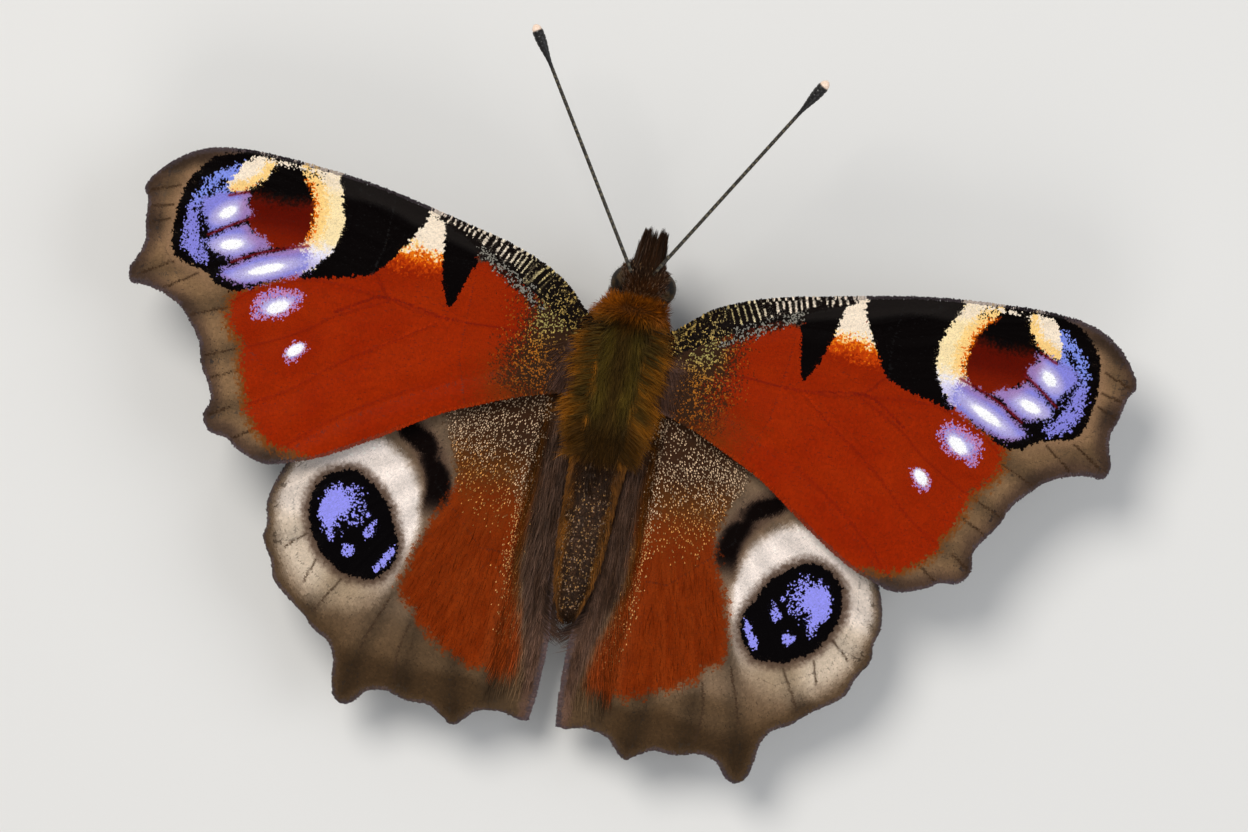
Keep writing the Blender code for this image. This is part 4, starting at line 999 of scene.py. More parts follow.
hindwing = {
    "name": "hindwing", "skew": 0.0, "shift": -0.3, "root": (0.5, -1.0), "hub": (3.0, -1.0), "hind": True,
    "outline": [
        [(1.6, -4.6), (1.8, -3.0), (3.0, -1.95), (4.7, -1.5), (6.5, -1.45), (8.5, -1.75), (12.0, -3.25),
         (15.5, -5.5), (18.2, -8.2), (19.4, -10.4), (19.9, -12.4), (19.65, -13.8), (19.72, -14.7), (19.0, -16.0),
         (18.5, -17.3), (17.4, -18.2), (16.3, -19.0), (15.4, -19.85), (14.4, -20.4), (13.85, -21.4),
         (13.7, -22.6), (13.4, -23.7), (12.75, -24.15), (12.1, -23.85), (11.4, -23.05),
         (10.2, -22.75), (8.7, -23.12), (7.3, -23.1), (6.4, -23.6), (5.6, -24.05), (4.9, -23.5),
         (4.2, -22.85), (2.7, -22.62), (1.5, -22.95)],
        [(1.5, -22.95), (0.95, -22.9)],
        [(0.95, -22.9), (0.78, -21.5), (0.68, -19.0), (0.7, -17.2), (0.95, -15.0), (1.1, -12.0),
         (1.1, -8.0), (1.6, -4.6)],
    ],
    "costa": [(1.8, -3.0), (3.0, -1.95), (4.7, -1.5), (6.5, -1.45), (8.5, -1.75), (12.0, -3.25), (15.5, -5.5)],
    "veins": {
        "subcosta": [(2.6, -3.5), (6.5, -3.0), (11.0, -4.3), (15.5, -7.2), (19.2, -11.0)],
        "radius": [(2.6, -4.2), (8.0, -5.6), (13.0, -8.3), (17.0, -10.7), (19.8, -12.6)],
        "median 1": [(8.0, -5.6), (11.5, -9.6), (15.5, -12.9), (17.6, -14.1), (19.7, -14.8)],
        "median 2": [(8.0, -5.6), (8.9, -8.6), (11.6, -12.4), (14.2, -16.3), (16.3, -19.0)],
        "median 3": [(7.6, -10.0), (9.6, -13.6), (11.0, -16.9), (12.0, -20.0), (12.85, -24.1)],
        "cubitus": [(2.6, -4.9), (5.2, -7.4), (7.6, -10.0), (8.4, -14.6), (9.0, -18.2), (9.2, -22.95)],
        "cubital 2": [(5.2, -7.4), (6.3, -12.0), (6.3, -18.0), (5.6, -24.0)],
        "anal": [(2.9, -5.6), (4.3, -10.0), (4.2, -16.0), (3.3, -22.7)],
    },
    "shapes": {
        "eye black": [(14.75, -9.35), (15.5, -9.5), (16.2, -9.8), (16.8, -10.4), (17.1, -11.2), (17.2, -12.1),
                      (17.0, -13.0), (16.7, -13.7), (16.3, -14.4), (15.8, -15.0), (15.0, -15.5), (14.2, -15.9),
                      (13.2, -16.0), (12.4, -15.95), (11.8, -15.5), (11.3, -14.8), (11.1, -14.0),
                      (11.2, -13.2), (11.6, -12.4), (12.0, -11.5), (12.4, -10.9), (13.0, -10.3), (13.8, -9.7)],
        "blue": [(15.3, -10.35), (15.9, -10.5), (16.3, -11), (16.5, -11.6), (16.55, -12.4), (16.3, -12.9),
                 (16, -13.3), (15.8, -13.9), (15.5, -14.15), (15.3, -13.8), (15.2, -13.2), (15.0, -12.7),
                 (14.6, -12.6), (14.2, -12.4), (14.1, -12.0), (14.0, -11.5), (14.1, -11.0), (14.5, -10.6)],
        "blue streak": [(12.75, -12.2), (13.1, -12.5), (13.5, -13.1), (13.25, -13.5), (12.9, -13.2), (12.85, -12.7)],
        "blue round": [(14.65, -14.4), (14.5, -14.75), (14.2, -14.82), (13.9, -14.65), (13.82, -14.35),
                       (13.95, -14.08), (14.25, -13.98), (14.55, -14.1)],
        "blue bar": [(11.35, -13.6), (11.6, -13.8), (11.9, -14.3), (12.4, -15.0), (12.42, -15.3), (12.15, -15.45),
                     (11.8, -15.0), (11.4, -14.3), (11.3, -13.9)],
        "pale": [(14.0, -7.1), (13.3, -7.1), (12.3, -7.5), (11.5, -8.2), (10.8, -9.0), (10.35, -10.0),
                 (10.15, -10.9), (10.0, -12.0), (10.2, -13.2), (10.5, -14.2), (10.9, -15.2), (11.4, -16.2),
                 (12.4, -17.2), (14.0, -17.9), (16.0, -17.5), (17.6, -16.3), (18.6, -14.7), (19.2, -12.6),
                 (18.9, -10.2), (17.8, -8.4), (16.0, -7.2)],
        "red": [(6.4, -7.9), (8.0, -8.4), (8.7, -10.0), (9.3, -11.5), (9.7, -12.5), (10.1, -13.6), (10.35, -14.8),
                (10.5, -15.8), (10.3, -16.6), (9.4, -17.2), (9.0, -17.9), (8.0, -18.6), (7.0, -19.1),
                (6.0, -19.7), (5.0, -20.0), (4.0, -19.8), (3.0, -19.6), (2.2, -19.2), (2.2, -17.5), (2.8, -15.5),
                (3.4, -13), (3.6, -10.0), (4.6, -8.2)],
    },
    "crescent": [(11.6, -6.0), (10.9, -6.5), (10.2, -7.4), (9.6, -8.5), (9.3, -9.6), (9.3, -10.9)],
    "divisions": [[(14.3, -16.3), (15.7, -18.8)], [(16.1, -15.4), (16.5, -16.8)], [(17.0, -13.9), (18.1, -14.9)],
                  [(11.0, -16.9), (11.6, -18.4), (12.2, -20.2)], [(9.4, -18.0), (9.8, -20.0), (9.7, -22.0)]],
    "fine zones": [[(9.6, -7.9), (17.6, -7.9), (18.2, -12.0), (17.2, -15.6), (14.0, -17.4), (11.0, -16.8)],
                   [(9.6, -2.0), (9.6, -9.0), (6.0, -12.5), (4.6, -12.5), (4.2, -18.0), (2.6, -18.0),
                    (3.3, -9.0), (3.2, -2.0)]],
    "colours": {
        "red": (114, 37, 2), "red pale": (124, 45, 6), "red orange": (134, 62, 24), "margin pale": (107, 87, 68), "margin": (82, 63, 44),
        "margin dark": (58, 42, 26), "rim": (66, 58, 62), "pale": (235, 222, 213), "pale right": (220, 205, 192),
        "pale low": (158, 137, 112), "soot": (78, 59, 47), "black": (3, 1, 2), "crescent": (8, 2, 1),
        "fringe": (78, 68, 76),
        "dirty": (112, 90, 72), "blue": (148, 147, 238), "base": (56, 34, 20), "gold": (86, 46, 15),
        "fleck": (196, 166, 134), "gold fleck": (184, 124, 62), "fold": (88, 66, 54), "fold dark": (60, 42, 31),
        "rust": (112, 46, 8), "pale rear": (192, 174, 153),
        "ridge": (84, 48, 12), "vein": (58, 42, 30), "under": (30, 22, 19), "under band": (62, 48, 40),
    },
}


def paintHindwing(wing, spots, draw, seed):
    site = survey(wing, spots, seed)
    paint = paintHindMargin(wing, site)
    ring, paint = paintHindRing(wing, site, draw, paint)
    paint = paintHindBase(wing, site, draw, paint, ring)
    return paintHindEye(wing, site, draw, paint)


def paintHindMargin(wing, site):
    hue = wing["colours"]
    x, y, cloud, toEdge = site["x"], site["y"], site["cloud"], site["to edge"]
    paint = mixPaint(hue["margin"], hue["margin pale"], smoothStep((y + 19.8 + 1.2 * cloud) / 2.4))
    paint = mixPaint(paint, hue["margin dark"], 0.95 * smoothStep((-20.0 - y + cloud) / 1.2) * smoothStep((x - 2) / 3))
    paint = mixPaint(paint, hue["margin dark"], 0.5 * smoothStep((1.4 - toEdge) / 1.0) * smoothStep((x - 9) / 4))
    # painted light and shade of the pleats: the margin is painted lighter on the bulges between the veins and darker
    # towards the veins
    pleat = smoothStep(site["to vein"] / 1.1) - 0.5
    return paint * (1 + 0.24 * pleat + 0.18 * cloud + 0.15 * site["rough"])[:, None]


def paintHindRing(wing, site, draw, paint):
    # the pale ring, white in front and tan behind, and the dark crescent in front of it
    hue = wing["colours"]
    x, y, depth, rough = site["x"], site["y"], site["depth"], site["rough"]
    around = np.arctan2(y + 12.6, x - 14.2)
    front = smoothStep((np.cos(around - math.radians(125)) + 0.75) / 0.9)
    right = smoothStep((np.cos(around - math.radians(-5)) - 0.45) / 0.4)
    low = smoothStep((np.cos(around - math.radians(-38)) - 0.72) / 0.2)
    ringColour = mixPaint(mixPaint(hue["pale low"], hue["pale"], front), hue["pale right"], right)
    ringColour = mixPaint(ringColour, hue["pale rear"], 0.9 * low)
    # painted light and shade of the pleats: the ring is painted lighter between the veins and darker towards them; the
    # rough term is random tone
    ringColour = ringColour * (1 + 0.12 * (smoothStep(site["to vein"] / 1.0) - 0.5) + 0.06 * rough)[:, None]
    soft = 1.5 - 0.5 * front + 0.5 * (1 - front) * (1 - right)
    ring = smoothStep((depth["pale"] + 0.15 * rough + 0.2 * site["streak"]) / soft + 0.5)
    paint = mixPaint(paint, ringColour, ring)
    sooty = smoothStep((0.80 + depth["eye black"] + 0.3 * rough) / 0.75)
    paint = mixPaint(paint, hue["soot"], 0.92 * sooty)

    toCrescent = nearDrawn(site, [wing["crescent"]])
    dirty = smoothStep((1.5 - toCrescent) / 0.9) * smoothStep((-3.6 - y) / 1.5) * (1 - 0.9 * ring)
    paint = cover(paint, hue["dirty"], 0.9 * dirty, draw, 0.3)
    fadeBack = smoothStep((y + 11.5) / 1.8)
    blot = 0.34 * np.exp(-(((y + 7.5) / 0.4) ** 2)) + 0.25 * site["cloud"] + 0.12 * rough
    blot += 0.35 * smoothStep((y + 6.3) / 0.6)
    paint = mixPaint(paint, hue["soot"], 0.85 * smoothStep((1.15 - toCrescent) / 0.6) * fadeBack)
    dark = smoothStep((0.99 - toCrescent - blot) / 0.55) * fadeBack
    return ring, mixPaint(paint, hue["crescent"], dark)


def paintHindBase(wing, site, draw, paint, ring):
    # the red field, the dark flecked base, the hair ridge, the fold with painted shade at its front, and the lines
    # between the veins
    hue = wing["colours"]
    x, y, cloud, rough, streak, depth = (site[k] for k in ("x", "y", "cloud", "rough", "streak", "depth"))
    red = mixPaint(hue["red"], hue["red pale"], np.clip(0.5 + 1.2 * streak + 0.6 * cloud, 0, 1))
    red = red * (1 + 0.06 * streak)[:, None]
    red = mixPaint(red, hue["red orange"], 0.7 * smoothStep((5.0 - x) / 1.4) * smoothStep((-11.5 - y) / 3))
    paint = cover(paint, red, smoothStep((depth["red"] + 0.3 * rough + 0.4 * streak) / 0.9 + 0.5), draw, 0.5)

    border = np.interp(y, (-11.0, -9.5, -8.5, -7, -5.6, -4.5, -2), (7.6, 8.3, 8.7, 9.0, 9.6, 10.0, 10.4))
    base = smoothStep((border - x + 0.5 * rough) / 0.6) * smoothStep((y + 12.2 + cloud + 2.0 * streak) / 5.0)
    golden = smoothStep((-4.9 - y + cloud) / 2.6)
    ground = mixPaint(hue["base"], hue["gold"], golden)
    ground = mixPaint(ground, hue["rust"], smoothStep((-6.8 - y + cloud + streak) / 3.2))
    paint = cover(paint, ground, base, draw, 0.4)
    paint = mixPaint(paint, hue["dirty"], 0.55 * base * smoothStep((x - 7.4) / 2.4) * (1 - golden))

    foldEdge = np.interp(y, (-23, -19.5, -16, -13, -9, -3), (1.9, 1.9, 2.6, 3.4, 3.55, 3.4))
    ridge = np.exp(-((x - foldEdge - 0.08) / 0.2) ** 2) * smoothStep((y + 16.5) / 4)
    paint = cover(paint, hue["ridge"], 0.7 * ridge, draw, 0.3)
    fold = smoothStep((foldEdge - x + 0.3 * rough) / 0.5)
    # the fold's darker streaks are its own colour; its darker front, in the gutter beside the body, is painted shade,
    # and its lighter rear is painted light
    share = np.clip(0.5 + 1.4 * streak + smoothStep((-13 - y) / 4) * 0.4, 0, 1)
    paint = cover(paint, mixPaint(hue["fold dark"], hue["fold"], share), fold, draw, 0.3)
    paint = paint * (1 + 0.2 * fold * smoothStep((-14 - y) / 4))[:, None]

    lines = np.exp(-(nearDrawn(site, wing["divisions"]) / 0.07) ** 2)
    paint = mixPaint(paint, hue["vein"], 0.75 * lines)
    outer = (1 - ring) * smoothStep((-0.6 - depth["red"]) / 0.4) * smoothStep((-12 - y) / 3)
    paint = mixPaint(paint, hue["vein"], 0.15 * outer * np.exp(-(site["to vein"] / 0.09) ** 2))
    paint = mixPaint(paint, hue["margin"], 0.6 * smoothStep((0.8 - site["to edge"]) / 0.5) * (y < -9.5) * (x > 2))
    return mixPaint(paint, hue["rim"], 0.85 * smoothStep((0.42 - site["to edge"] + 0.2 * rough) / 0.3) * (y < -8))


def paintHindEye(wing, site, draw, paint):
    hue = wing["colours"]
    x, y, depth = site["x"], site["y"], site["depth"]
    paint = cover(paint, hue["black"], within(site, "eye black", 0.14, 0.2), draw)
    dither = smoothStep((softNoise(site["spots"], 0.12, site["seed"] + 7) - 0.36) / 0.12)
    solid = smoothStep((depth["blue"] - 0.15 + (x - 15.2) * 0.35) / 0.45)
    blue = within(site, "blue", 0.2, 0.5) * np.maximum(0.75 * dither, solid)
    for name, least in (("blue streak", 0.35), ("blue round", 0.7), ("blue bar", 0.7)):
        blue = np.maximum(blue, within(site, name, 0.2, 0.2) * np.maximum(dither, least))
    blue = np.maximum(blue, 0.9 * smoothStep((0.2 - np.hypot(x - 13.4, y + 11.95)) / 0.1))
    scatter = smoothStep((depth["blue"] + 0.7) / 0.5) * smoothStep((15.0 - x) / 0.5)
    return cover(paint, hue["blue"], np.maximum(blue, 0.4 * scatter * dither), draw)


def hindFlecks(wing, side, seed):
    # pale raised flecks in staggered rows on the dark base, beside the fold and on the golden part
    draw = np.random.RandomState(seed)
    spots = gridSpots(wing, 0.145, draw, 0.42)
    x, y = spots.T
    border = np.interp(y, (-11.0, -8.5, -7, -5.6, -4.5, -2), (7.8, 8.6, 9.1, 9.8, 10.0, 10.4))
    foldEdge = np.interp(y, (-19.5, -16, -13, -9, -3), (2.6, 3.0, 3.45, 3.55, 3.3))
    base = smoothStep((border - x) / 0.4) * smoothStep((y + 12.0) / 4.4) * smoothStep((x - foldEdge) / 0.2)
    dense = 0.42 + 0.35 * smoothStep((x - 5.4) / 2.5) * smoothStep((y + 8.6) / 2.0)
    beside = np.exp(-((x - foldEdge - 0.5) / 0.5) ** 2) * smoothStep((y + 19.5) / 3.0)
    chance = np.maximum(base * dense, 0.95 * beside)
    keep = (draw.rand(len(spots)) < chance) & (depthInside(spots, wing["skin edge"]) > 0.3)
    spots, x, y = spots[keep], x[keep], y[keep]
    golden = smoothStep((-5.8 - y + draw.rand(len(x)) * 2 - 1) / 2.6) * smoothStep((x - 4.4) / 0.8)
    golden = np.maximum(golden, 0.8 * smoothStep((-7.5 - y) / 3))
    paint = mixPaint(wing["colours"]["fleck"], wing["colours"]["gold fleck"], golden)
    paint = np.clip(paint * (0.72 + 0.55 * draw.rand(len(x), 1)), 0, 255)
    roots, normal, lie = wingFrame(wing, side, spots, 1)
    down = np.array([0.15 * side, -1.0, 0.0])
    lie = unit(lie * 0.5 + down)
    lie = unit(lie - normal * (lie * normal).sum(1, keepdims=True))
    size = 0.8 + 0.5 * draw.rand(len(x))
    return wingScales(roots + normal * 0.02, lie, normal, 0.11 * size, 0.08 * size, 0.05 * size, paint,
                      wingUnwrap(wing, spots, 1))


def hairyWing(wing, side, seed, zone):
    # soft hairs that lie back over a wing's base
    draw = np.random.RandomState(seed)
    spots = gridSpots(wing, zone["pitch"], draw, 0.5)
    chance = zone["where"](spots)
    keep = (draw.rand(len(spots)) < chance) & (depthInside(spots, wing["skin edge"]) > 0.15)
    spots = spots[keep]
    count = len(spots)
    roots, normal, _ = wingFrame(wing, side, spots, zone["face"])
    towards = zone["lie"](spots)
    lie = np.stack([side * towards[:, 0], towards[:, 1], np.zeros(count)], 1)
    lie = unit(lie - normal * (lie * normal).sum(1, keepdims=True))
    paint = zone["paint"](wing, spots, None, seed)
    paint = np.clip(paint * (zone["bright"] * (0.7 + 0.6 * draw.rand(count, 1))), 0, 255)
    room = depthInside(spots, wing["skin edge"]) / zone["length"] + 0.25
    length = zone["length"] * (0.6 + 0.8 * draw.rand(count)) * np.clip(room, zone["least"], 1)
    return hairs(roots, lie, normal, length, np.full(count, zone["width"]), zone["rise"] * (0.4 + draw.rand(count)),
                 (draw.rand(count) - 0.5) * 0.3, paint, wingUnwrap(wing, spots, zone["face"]), rings=2,
                 tipLit=zone["tip"], rootShade=zone["root"])


def foldHairWhere(spots):
    x, y = spots.T
    return smoothStep((4.1 - x) / 0.5) * smoothStep((-2.4 - y) / 0.5) * smoothStep((y + 21.5) / 3)


def foldEdgeWhere(spots):
    x, y = spots.T
    return smoothStep((1.9 - x) / 0.5) * smoothStep((-12.6 - y) / 1.0) * smoothStep((y + 17.0) / 0.8)


def slitWhere(spots):
    x, y = spots.T
    return smoothStep((1.3 - x) / 0.4) * smoothStep((-15.8 - y) / 0.5) * smoothStep((y + 18.0) / 1.2)


def redHairWhere(spots):
    x, y = spots.T
    loop = hindwing["loops"]["red"]
    return 0.5 * smoothStep(depthInside(spots, loop) / 0.8) * smoothStep((x - 3.0) / 0.5) * smoothStep((-9.0 - y) / 3)


def foreBaseWhere(spots):
    x, y = spots.T
    return smoothStep((4.6 - x + 0.25 * y) / 1.2) * smoothStep((1.8 - y) / 1.2)


def paintForeBaseHair(wing, spots, draw, seed):
    share = softNoise(spots, 0.5, seed)
    return mixPaint(wing["colours"]["base"], wing["colours"]["base purple"], 0.4 + 0.6 * share)


def lieOutward(spots):
    return unit(spots - np.array((2.6, 2.0)))


def lieBack(spots):
    return unit(np.stack([0.07 + 0.012 * spots[:, 0], -np.ones(len(spots))], 1))


def lieInward(spots):
    # behind the end of the body, where the hair of both folds meets
    return unit(np.stack([-np.ones(len(spots)), np.full(len(spots), -0.6)], 1))


def lieFan(spots):
    return unit(spots - np.array((3.5, 3.0)))


# root and tip scale each hair's paint at its root and at its tip: painted shade at the roots and painted light at the
# tips
hairZones = {
    "fold": {"pitch": 0.105, "where": foldHairWhere, "lie": lieBack, "face": 1, "length": 1.3, "width": 0.045,
             "rise": 0.10, "paint": paintHindwing, "bright": 1.15, "root": 0.7, "tip": 1.15, "least": 0.5},
    "fold edge": {"pitch": 0.064, "where": foldEdgeWhere, "lie": lieInward, "face": 1, "length": 1.75,
                  "width": 0.055, "rise": 0.10, "paint": paintHindwing, "bright": 1.0, "root": 0.8, "tip": 1.0,
                  "least": 1.0},
    "slit": {"pitch": 0.075, "where": slitWhere, "lie": lieInward, "face": 1, "length": 1.1, "width": 0.05,
             "rise": 0.08, "paint": paintHindwing, "bright": 1.05, "root": 0.8, "tip": 1.05, "least": 1.0},
    "red": {"pitch": 0.17, "where": redHairWhere, "lie": lieFan, "face": 1, "length": 0.9, "width": 0.04,
            "rise": 0.03, "paint": paintHindwing, "bright": 1.05, "root": 0.95, "tip": 1.05, "least": 0.3},
    "fore base": {"pitch": 0.12, "where": foreBaseWhere, "lie": lieOutward, "face": 1, "length": 1.0,
                  "width": 0.04, "rise": 0.10, "paint": paintForeBaseHair, "bright": 1.15, "root": 0.7, "tip": 1.15,
                  "least": 0.3},
}


def makeWing(wing, side, painter, seed):
    name = wing["name"] + ("_right" if side > 0 else "_left")
    wingSkin(wing, side, {1: painter, -1: paintUnder}, materials["wing membrane"])
    upper = upperScales(wing, side, painter, seed)
    newPiece(name + "_scales", *upper[:2], materials["wing scales"], wing["name"], (), *upper[2:])
    spots = gridSpots(wing, scaleForm["under"]["pitch"], np.random.RandomState(seed + 1))
    under = scaleCoat(wing, side, -1, spots, paintUnder, seed + 1, scaleForm["under"])
    newPiece(name + "_underside", *under[:2], materials["wing scales"], wing["name"], (), *under[2:])
    fringe = fringeCoat(wing, side, painter, seed + 2)
    newPiece(name + "_fringe", *fringe[:2], materials["wing scales"], wing["name"], (), *fringe[2:])
    zones = ("fold", "fold edge", "slit", "red") if wing["hind"] else ("fore base",)
    soft = [hairyWing(wing, side, seed + 3 + k, hairZones[zone]) for k, zone in enumerate(zones)]
    if wing["hind"]:
        soft.append(hindFlecks(wing, side, seed + 9))
    soft = joinShapes(soft)
    newPiece(name + "_hair", *soft[:2], materials["fur"], wing["name"], (), *soft[2:])
    print("wing:", name, len(upper[1]), len(under[1]), len(fringe[1]), len(soft[1]), "scale and hair triangles")


for wing in (forewing, hindwing):
    prepareWing(wing)
for side, seed in ((-1, 100), (1, 200)):
    makeWing(hindwing, side, paintHindwing, seed)
    makeWing(forewing, side, paintForewing, seed + 50)


# Head and body: a skin under the fur, through stations of y, centre x and z, half width and half height
bodyForm = {
    "stations": [(-16.10, -0.10, 4.55, 0.30, 0.30), (-15.50, -0.10, 4.62, 0.80, 0.78),
                 (-14.00, -0.10, 4.78, 1.28, 1.28), (-11.50, -0.10, 5.00, 1.66, 1.68),
                 (-8.00, -0.10, 5.30, 1.80, 1.88), (-5.80, -0.05, 5.50, 1.95, 2.05),
                 (-4.60, 0.00, 5.62, 2.42, 2.42), (-3.40, 0.00, 5.70, 2.90, 2.75),
                 (-1.00, 0.00, 5.80, 3.12, 2.92), (1.50, 0.00, 5.85, 3.08, 2.92),
                 (3.20, 0.05, 5.90, 2.74, 2.62), (4.30, 0.25, 5.95, 2.15, 2.10),
                 (4.90, 0.42, 6.00, 1.72, 1.80), (5.80, 0.50, 6.00, 1.72, 1.74),
                 (6.70, 0.52, 5.98, 1.36, 1.42), (7.20, 0.54, 5.92, 0.88, 0.98)],
    # y, and how deep the skin lies below those stations, which include the fur
    "skin depth": [(-16.1, 0.12), (-15.3, 0.20), (-6.2, 0.22), (-4.6, 0.50), (3.4, 0.55), (4.9, 0.34), (7.2, 0.25)],
    "joints": [-6.5, -7.9, -9.3, -10.7, -12.0, -13.2, -14.3], "joint depth": 0.035, "joint width": 0.13,
    "back": -16.1, "front": 7.2, "step": 0.15, "sides": 72,
    "colours": {
        "thorax": (52, 38, 17), "moss": (68, 56, 20), "flank": (106, 65, 16), "collar": (100, 53, 6),
        "thorax end": (46, 30, 11), "chest": (54, 40, 30), "abdomen": (50, 32, 19), "abdomen side": (110, 67, 24),
        "belly": (64, 48, 36), "head": (56, 32, 15), "face": (44, 29, 19), "gold": (140, 100, 52),
        "grey": (124, 100, 84),
    },
}
bodyLine = smoothLine(bodyForm["stations"], 0.15)
eyeForm = {
    "middle": 0.5, "out": 1.15, "y": 5.75, "z": 6.15, "radii": (0.95, 1.05, 1.12), "rings": 40, "sides": 64,
    "dark": (16, 10, 5), "light": (62, 46, 25), "hair": (78, 62, 38),
}


def bodyStation(y):
    return [np.interp(y, bodyLine[:, 0], bodyLine[:, k]) for k in (1, 2, 3, 4)]


def bodyPoints(y, angle):
    x, z, halfWidth, halfHeight = bodyStation(y)
    depth = np.interp(y, *np.transpose(bodyForm["skin depth"]))
    nearest = np.min([np.abs(y - joint) for joint in bodyForm["joints"]], axis=0)
    depth = depth + bodyForm["joint depth"] * np.exp(-(nearest / bodyForm["joint width"]) ** 2)
    return np.stack([x + (halfWidth - depth) * np.cos(angle), y, z + (halfHeight - depth) * np.sin(angle)], -1)


def bodyFrame(y, angle):
    ahead = unit(bodyPoints(y + 0.05, angle) - bodyPoints(y - 0.05, angle))
    around = unit(bodyPoints(y, angle + 0.02) - bodyPoints(y, angle - 0.02))
    return bodyPoints(y, angle), unit(np.cross(ahead, around)), ahead, around


def bodyUnwrap(y, angle):
    share = (y - bodyForm["back"]) / (bodyForm["front"] - bodyForm["back"])
    return np.stack([0.01 + 0.98 * (angle / (2 * math.pi) % 1), 0.01 + 0.98 * share], -1)


def paintBody(points, seed):
    hue = bodyForm["colours"]
    x, y, z = points.T
    centreX, centreZ, halfWidth, halfHeight = bodyStation(y)
    across = np.abs(x - centreX) / halfWidth
    below = smoothStep((centreZ - z) / halfHeight * 1.6 + 0.2)
    clump = softNoise(np.stack([x * 2.2, y * 0.7], 1), 0.5, seed) - 0.5
    cloud = softNoise(points[:, :2], 1.6, seed + 1) - 0.5
    mossy = np.exp(-((across - 0.26) / 0.16) ** 2) * smoothStep((y + 3.5) / 2)
    paint = mixPaint(hue["thorax"], hue["moss"], 0.75 * mossy)
    paint = mixPaint(paint, hue["flank"], smoothStep((across - 0.34 + 0.2 * clump) / 0.22))
    end = smoothStep((-2.6 - y + cloud) / 1.5) * smoothStep((0.7 - across) / 0.3)
    paint = mixPaint(paint, hue["thorax end"], 0.8 * end)
    paint = mixPaint(paint, hue["collar"], smoothStep((y - 2.9 + 0.6 * cloud) / 1.2))
    parting = np.exp(-((y - 3.4 + 0.25 * (x - centreX) ** 2) / 0.22) ** 2) * smoothStep((0.75 - across) / 0.2)
    paint = paint * (1 - 0.45 * parting)[:, None]
    paint = mixPaint(paint, hue["chest"], below * smoothStep((4.6 - y) / 1.0))
    tail = mixPaint(hue["abdomen"], hue["abdomen side"], smoothStep((across - 0.5 + 0.3 * clump) / 0.3))
    tail = mixPaint(tail, hue["belly"], below)
    paint = mixPaint(paint, tail, smoothStep((-4.9 - y) / 1.0))
    skull = mixPaint(hue["head"], hue["face"], smoothStep((y - 5.6) / 0.8))
    skull = mixPaint(skull, hue["chest"], 0.6 * below)
    paint = mixPaint(paint, skull, smoothStep((y - 4.75 + 0.3 * cloud) / 0.35))
    return paint * (1 + 0.3 * clump + 0.3 * cloud)[:, None]


def closedLoft(grid):
    # a closed surface through rings of points; its unwrap runs round the rings and along them
    rows, sides = grid.shape[:2]
    points = np.vstack([grid.reshape(-1, 3), grid[0].mean(0), grid[-1].mean(0)])
    row, k = np.mgrid[0:rows - 1, 0:sides].reshape(2, -1)
    n = (k + 1) % sides
    triangles = np.vstack([np.stack([row * sides + k, row * sides + n, (row + 1) * sides + n], 1),
                           np.stack([row * sides + k, (row + 1) * sides + n, (row + 1) * sides + k], 1)])
    corners = np.vstack([np.stack([k, row, k + 1, row, k + 1, row + 1], 1),
                         np.stack([k, row, k + 1, row + 1, k, row + 1], 1)]).reshape(-1, 3, 2)
    k = np.arange(sides)
    n = (k + 1) % sides
    start, end = rows * sides, rows * sides + 1
    last = (rows - 1) * sides
    triangles = np.vstack([triangles, np.stack([n, k, np.full(sides, start)], 1),
                           np.stack([last + k, last + n, np.full(sides, end)], 1)])
    zero, top = np.zeros(sides), np.full(sides, rows - 1)
    corners = np.vstack([corners, np.stack([k + 1, zero, k, zero, k + 0.5, zero], 1).reshape(-1, 3, 2),
                         np.stack([k, top, k + 1, top, k + 0.5, top], 1).reshape(-1, 3, 2)])
    unwrap = 0.01 + 0.98 * corners / (sides, rows - 1)
    a, b, c = (points[triangles[:, i]] for i in range(3))
    if (np.cross(a, b) * c).sum() < 0:
        triangles, unwrap = triangles[:, ::-1], unwrap[:, ::-1]
    return points, triangles, unwrap.reshape(-1, 2)


def makeBodySkin():
    form = bodyForm
    levels = np.linspace(form["back"], form["front"], int((form["front"] - form["back"]) / form["step"]))
    y, angle = np.meshgrid(levels, np.arange(form["sides"]) * 2 * math.pi / form["sides"], indexing="ij")
    points, triangles, unwrap = closedLoft(bodyPoints(y, angle))
    newPiece("body_skin", points, triangles, materials["body skin"], "fur", ("thorax", "abdomen", "head"),
             paintBody(points, 300) * 0.75, unwrap, smooth=True)


def bodySpots(draw, pitch, back, front):
    # evenly spread spots, in staggered rows round the body
    rows = []
    for k in range(int((front - back) / pitch)):
        y = back + k * pitch
        count = int(2 * math.pi * bodyStation(y)[2] / pitch)
        rows.append(np.stack([np.full(count, y), (np.arange(count) + 0.5 * (k % 2)) * 2 * math.pi / count], 1))
    spots = np.vstack(rows)
    spots[:, 0] += (draw.rand(len(spots)) - 0.5) * pitch
    spots[:, 1] += (draw.rand(len(spots)) - 0.5) * pitch / 2
    return spots.T


def outsideEyes(points, grow):
    clear = np.ones(len(points), bool)
    for side in (-1, 1):
        centre = np.array((eyeForm["middle"] + side * eyeForm["out"], eyeForm["y"], eyeForm["z"]))
        clear &= (((points - centre) / (np.array(eyeForm["radii"]) * grow)) ** 2).sum(1) > 1
    return clear


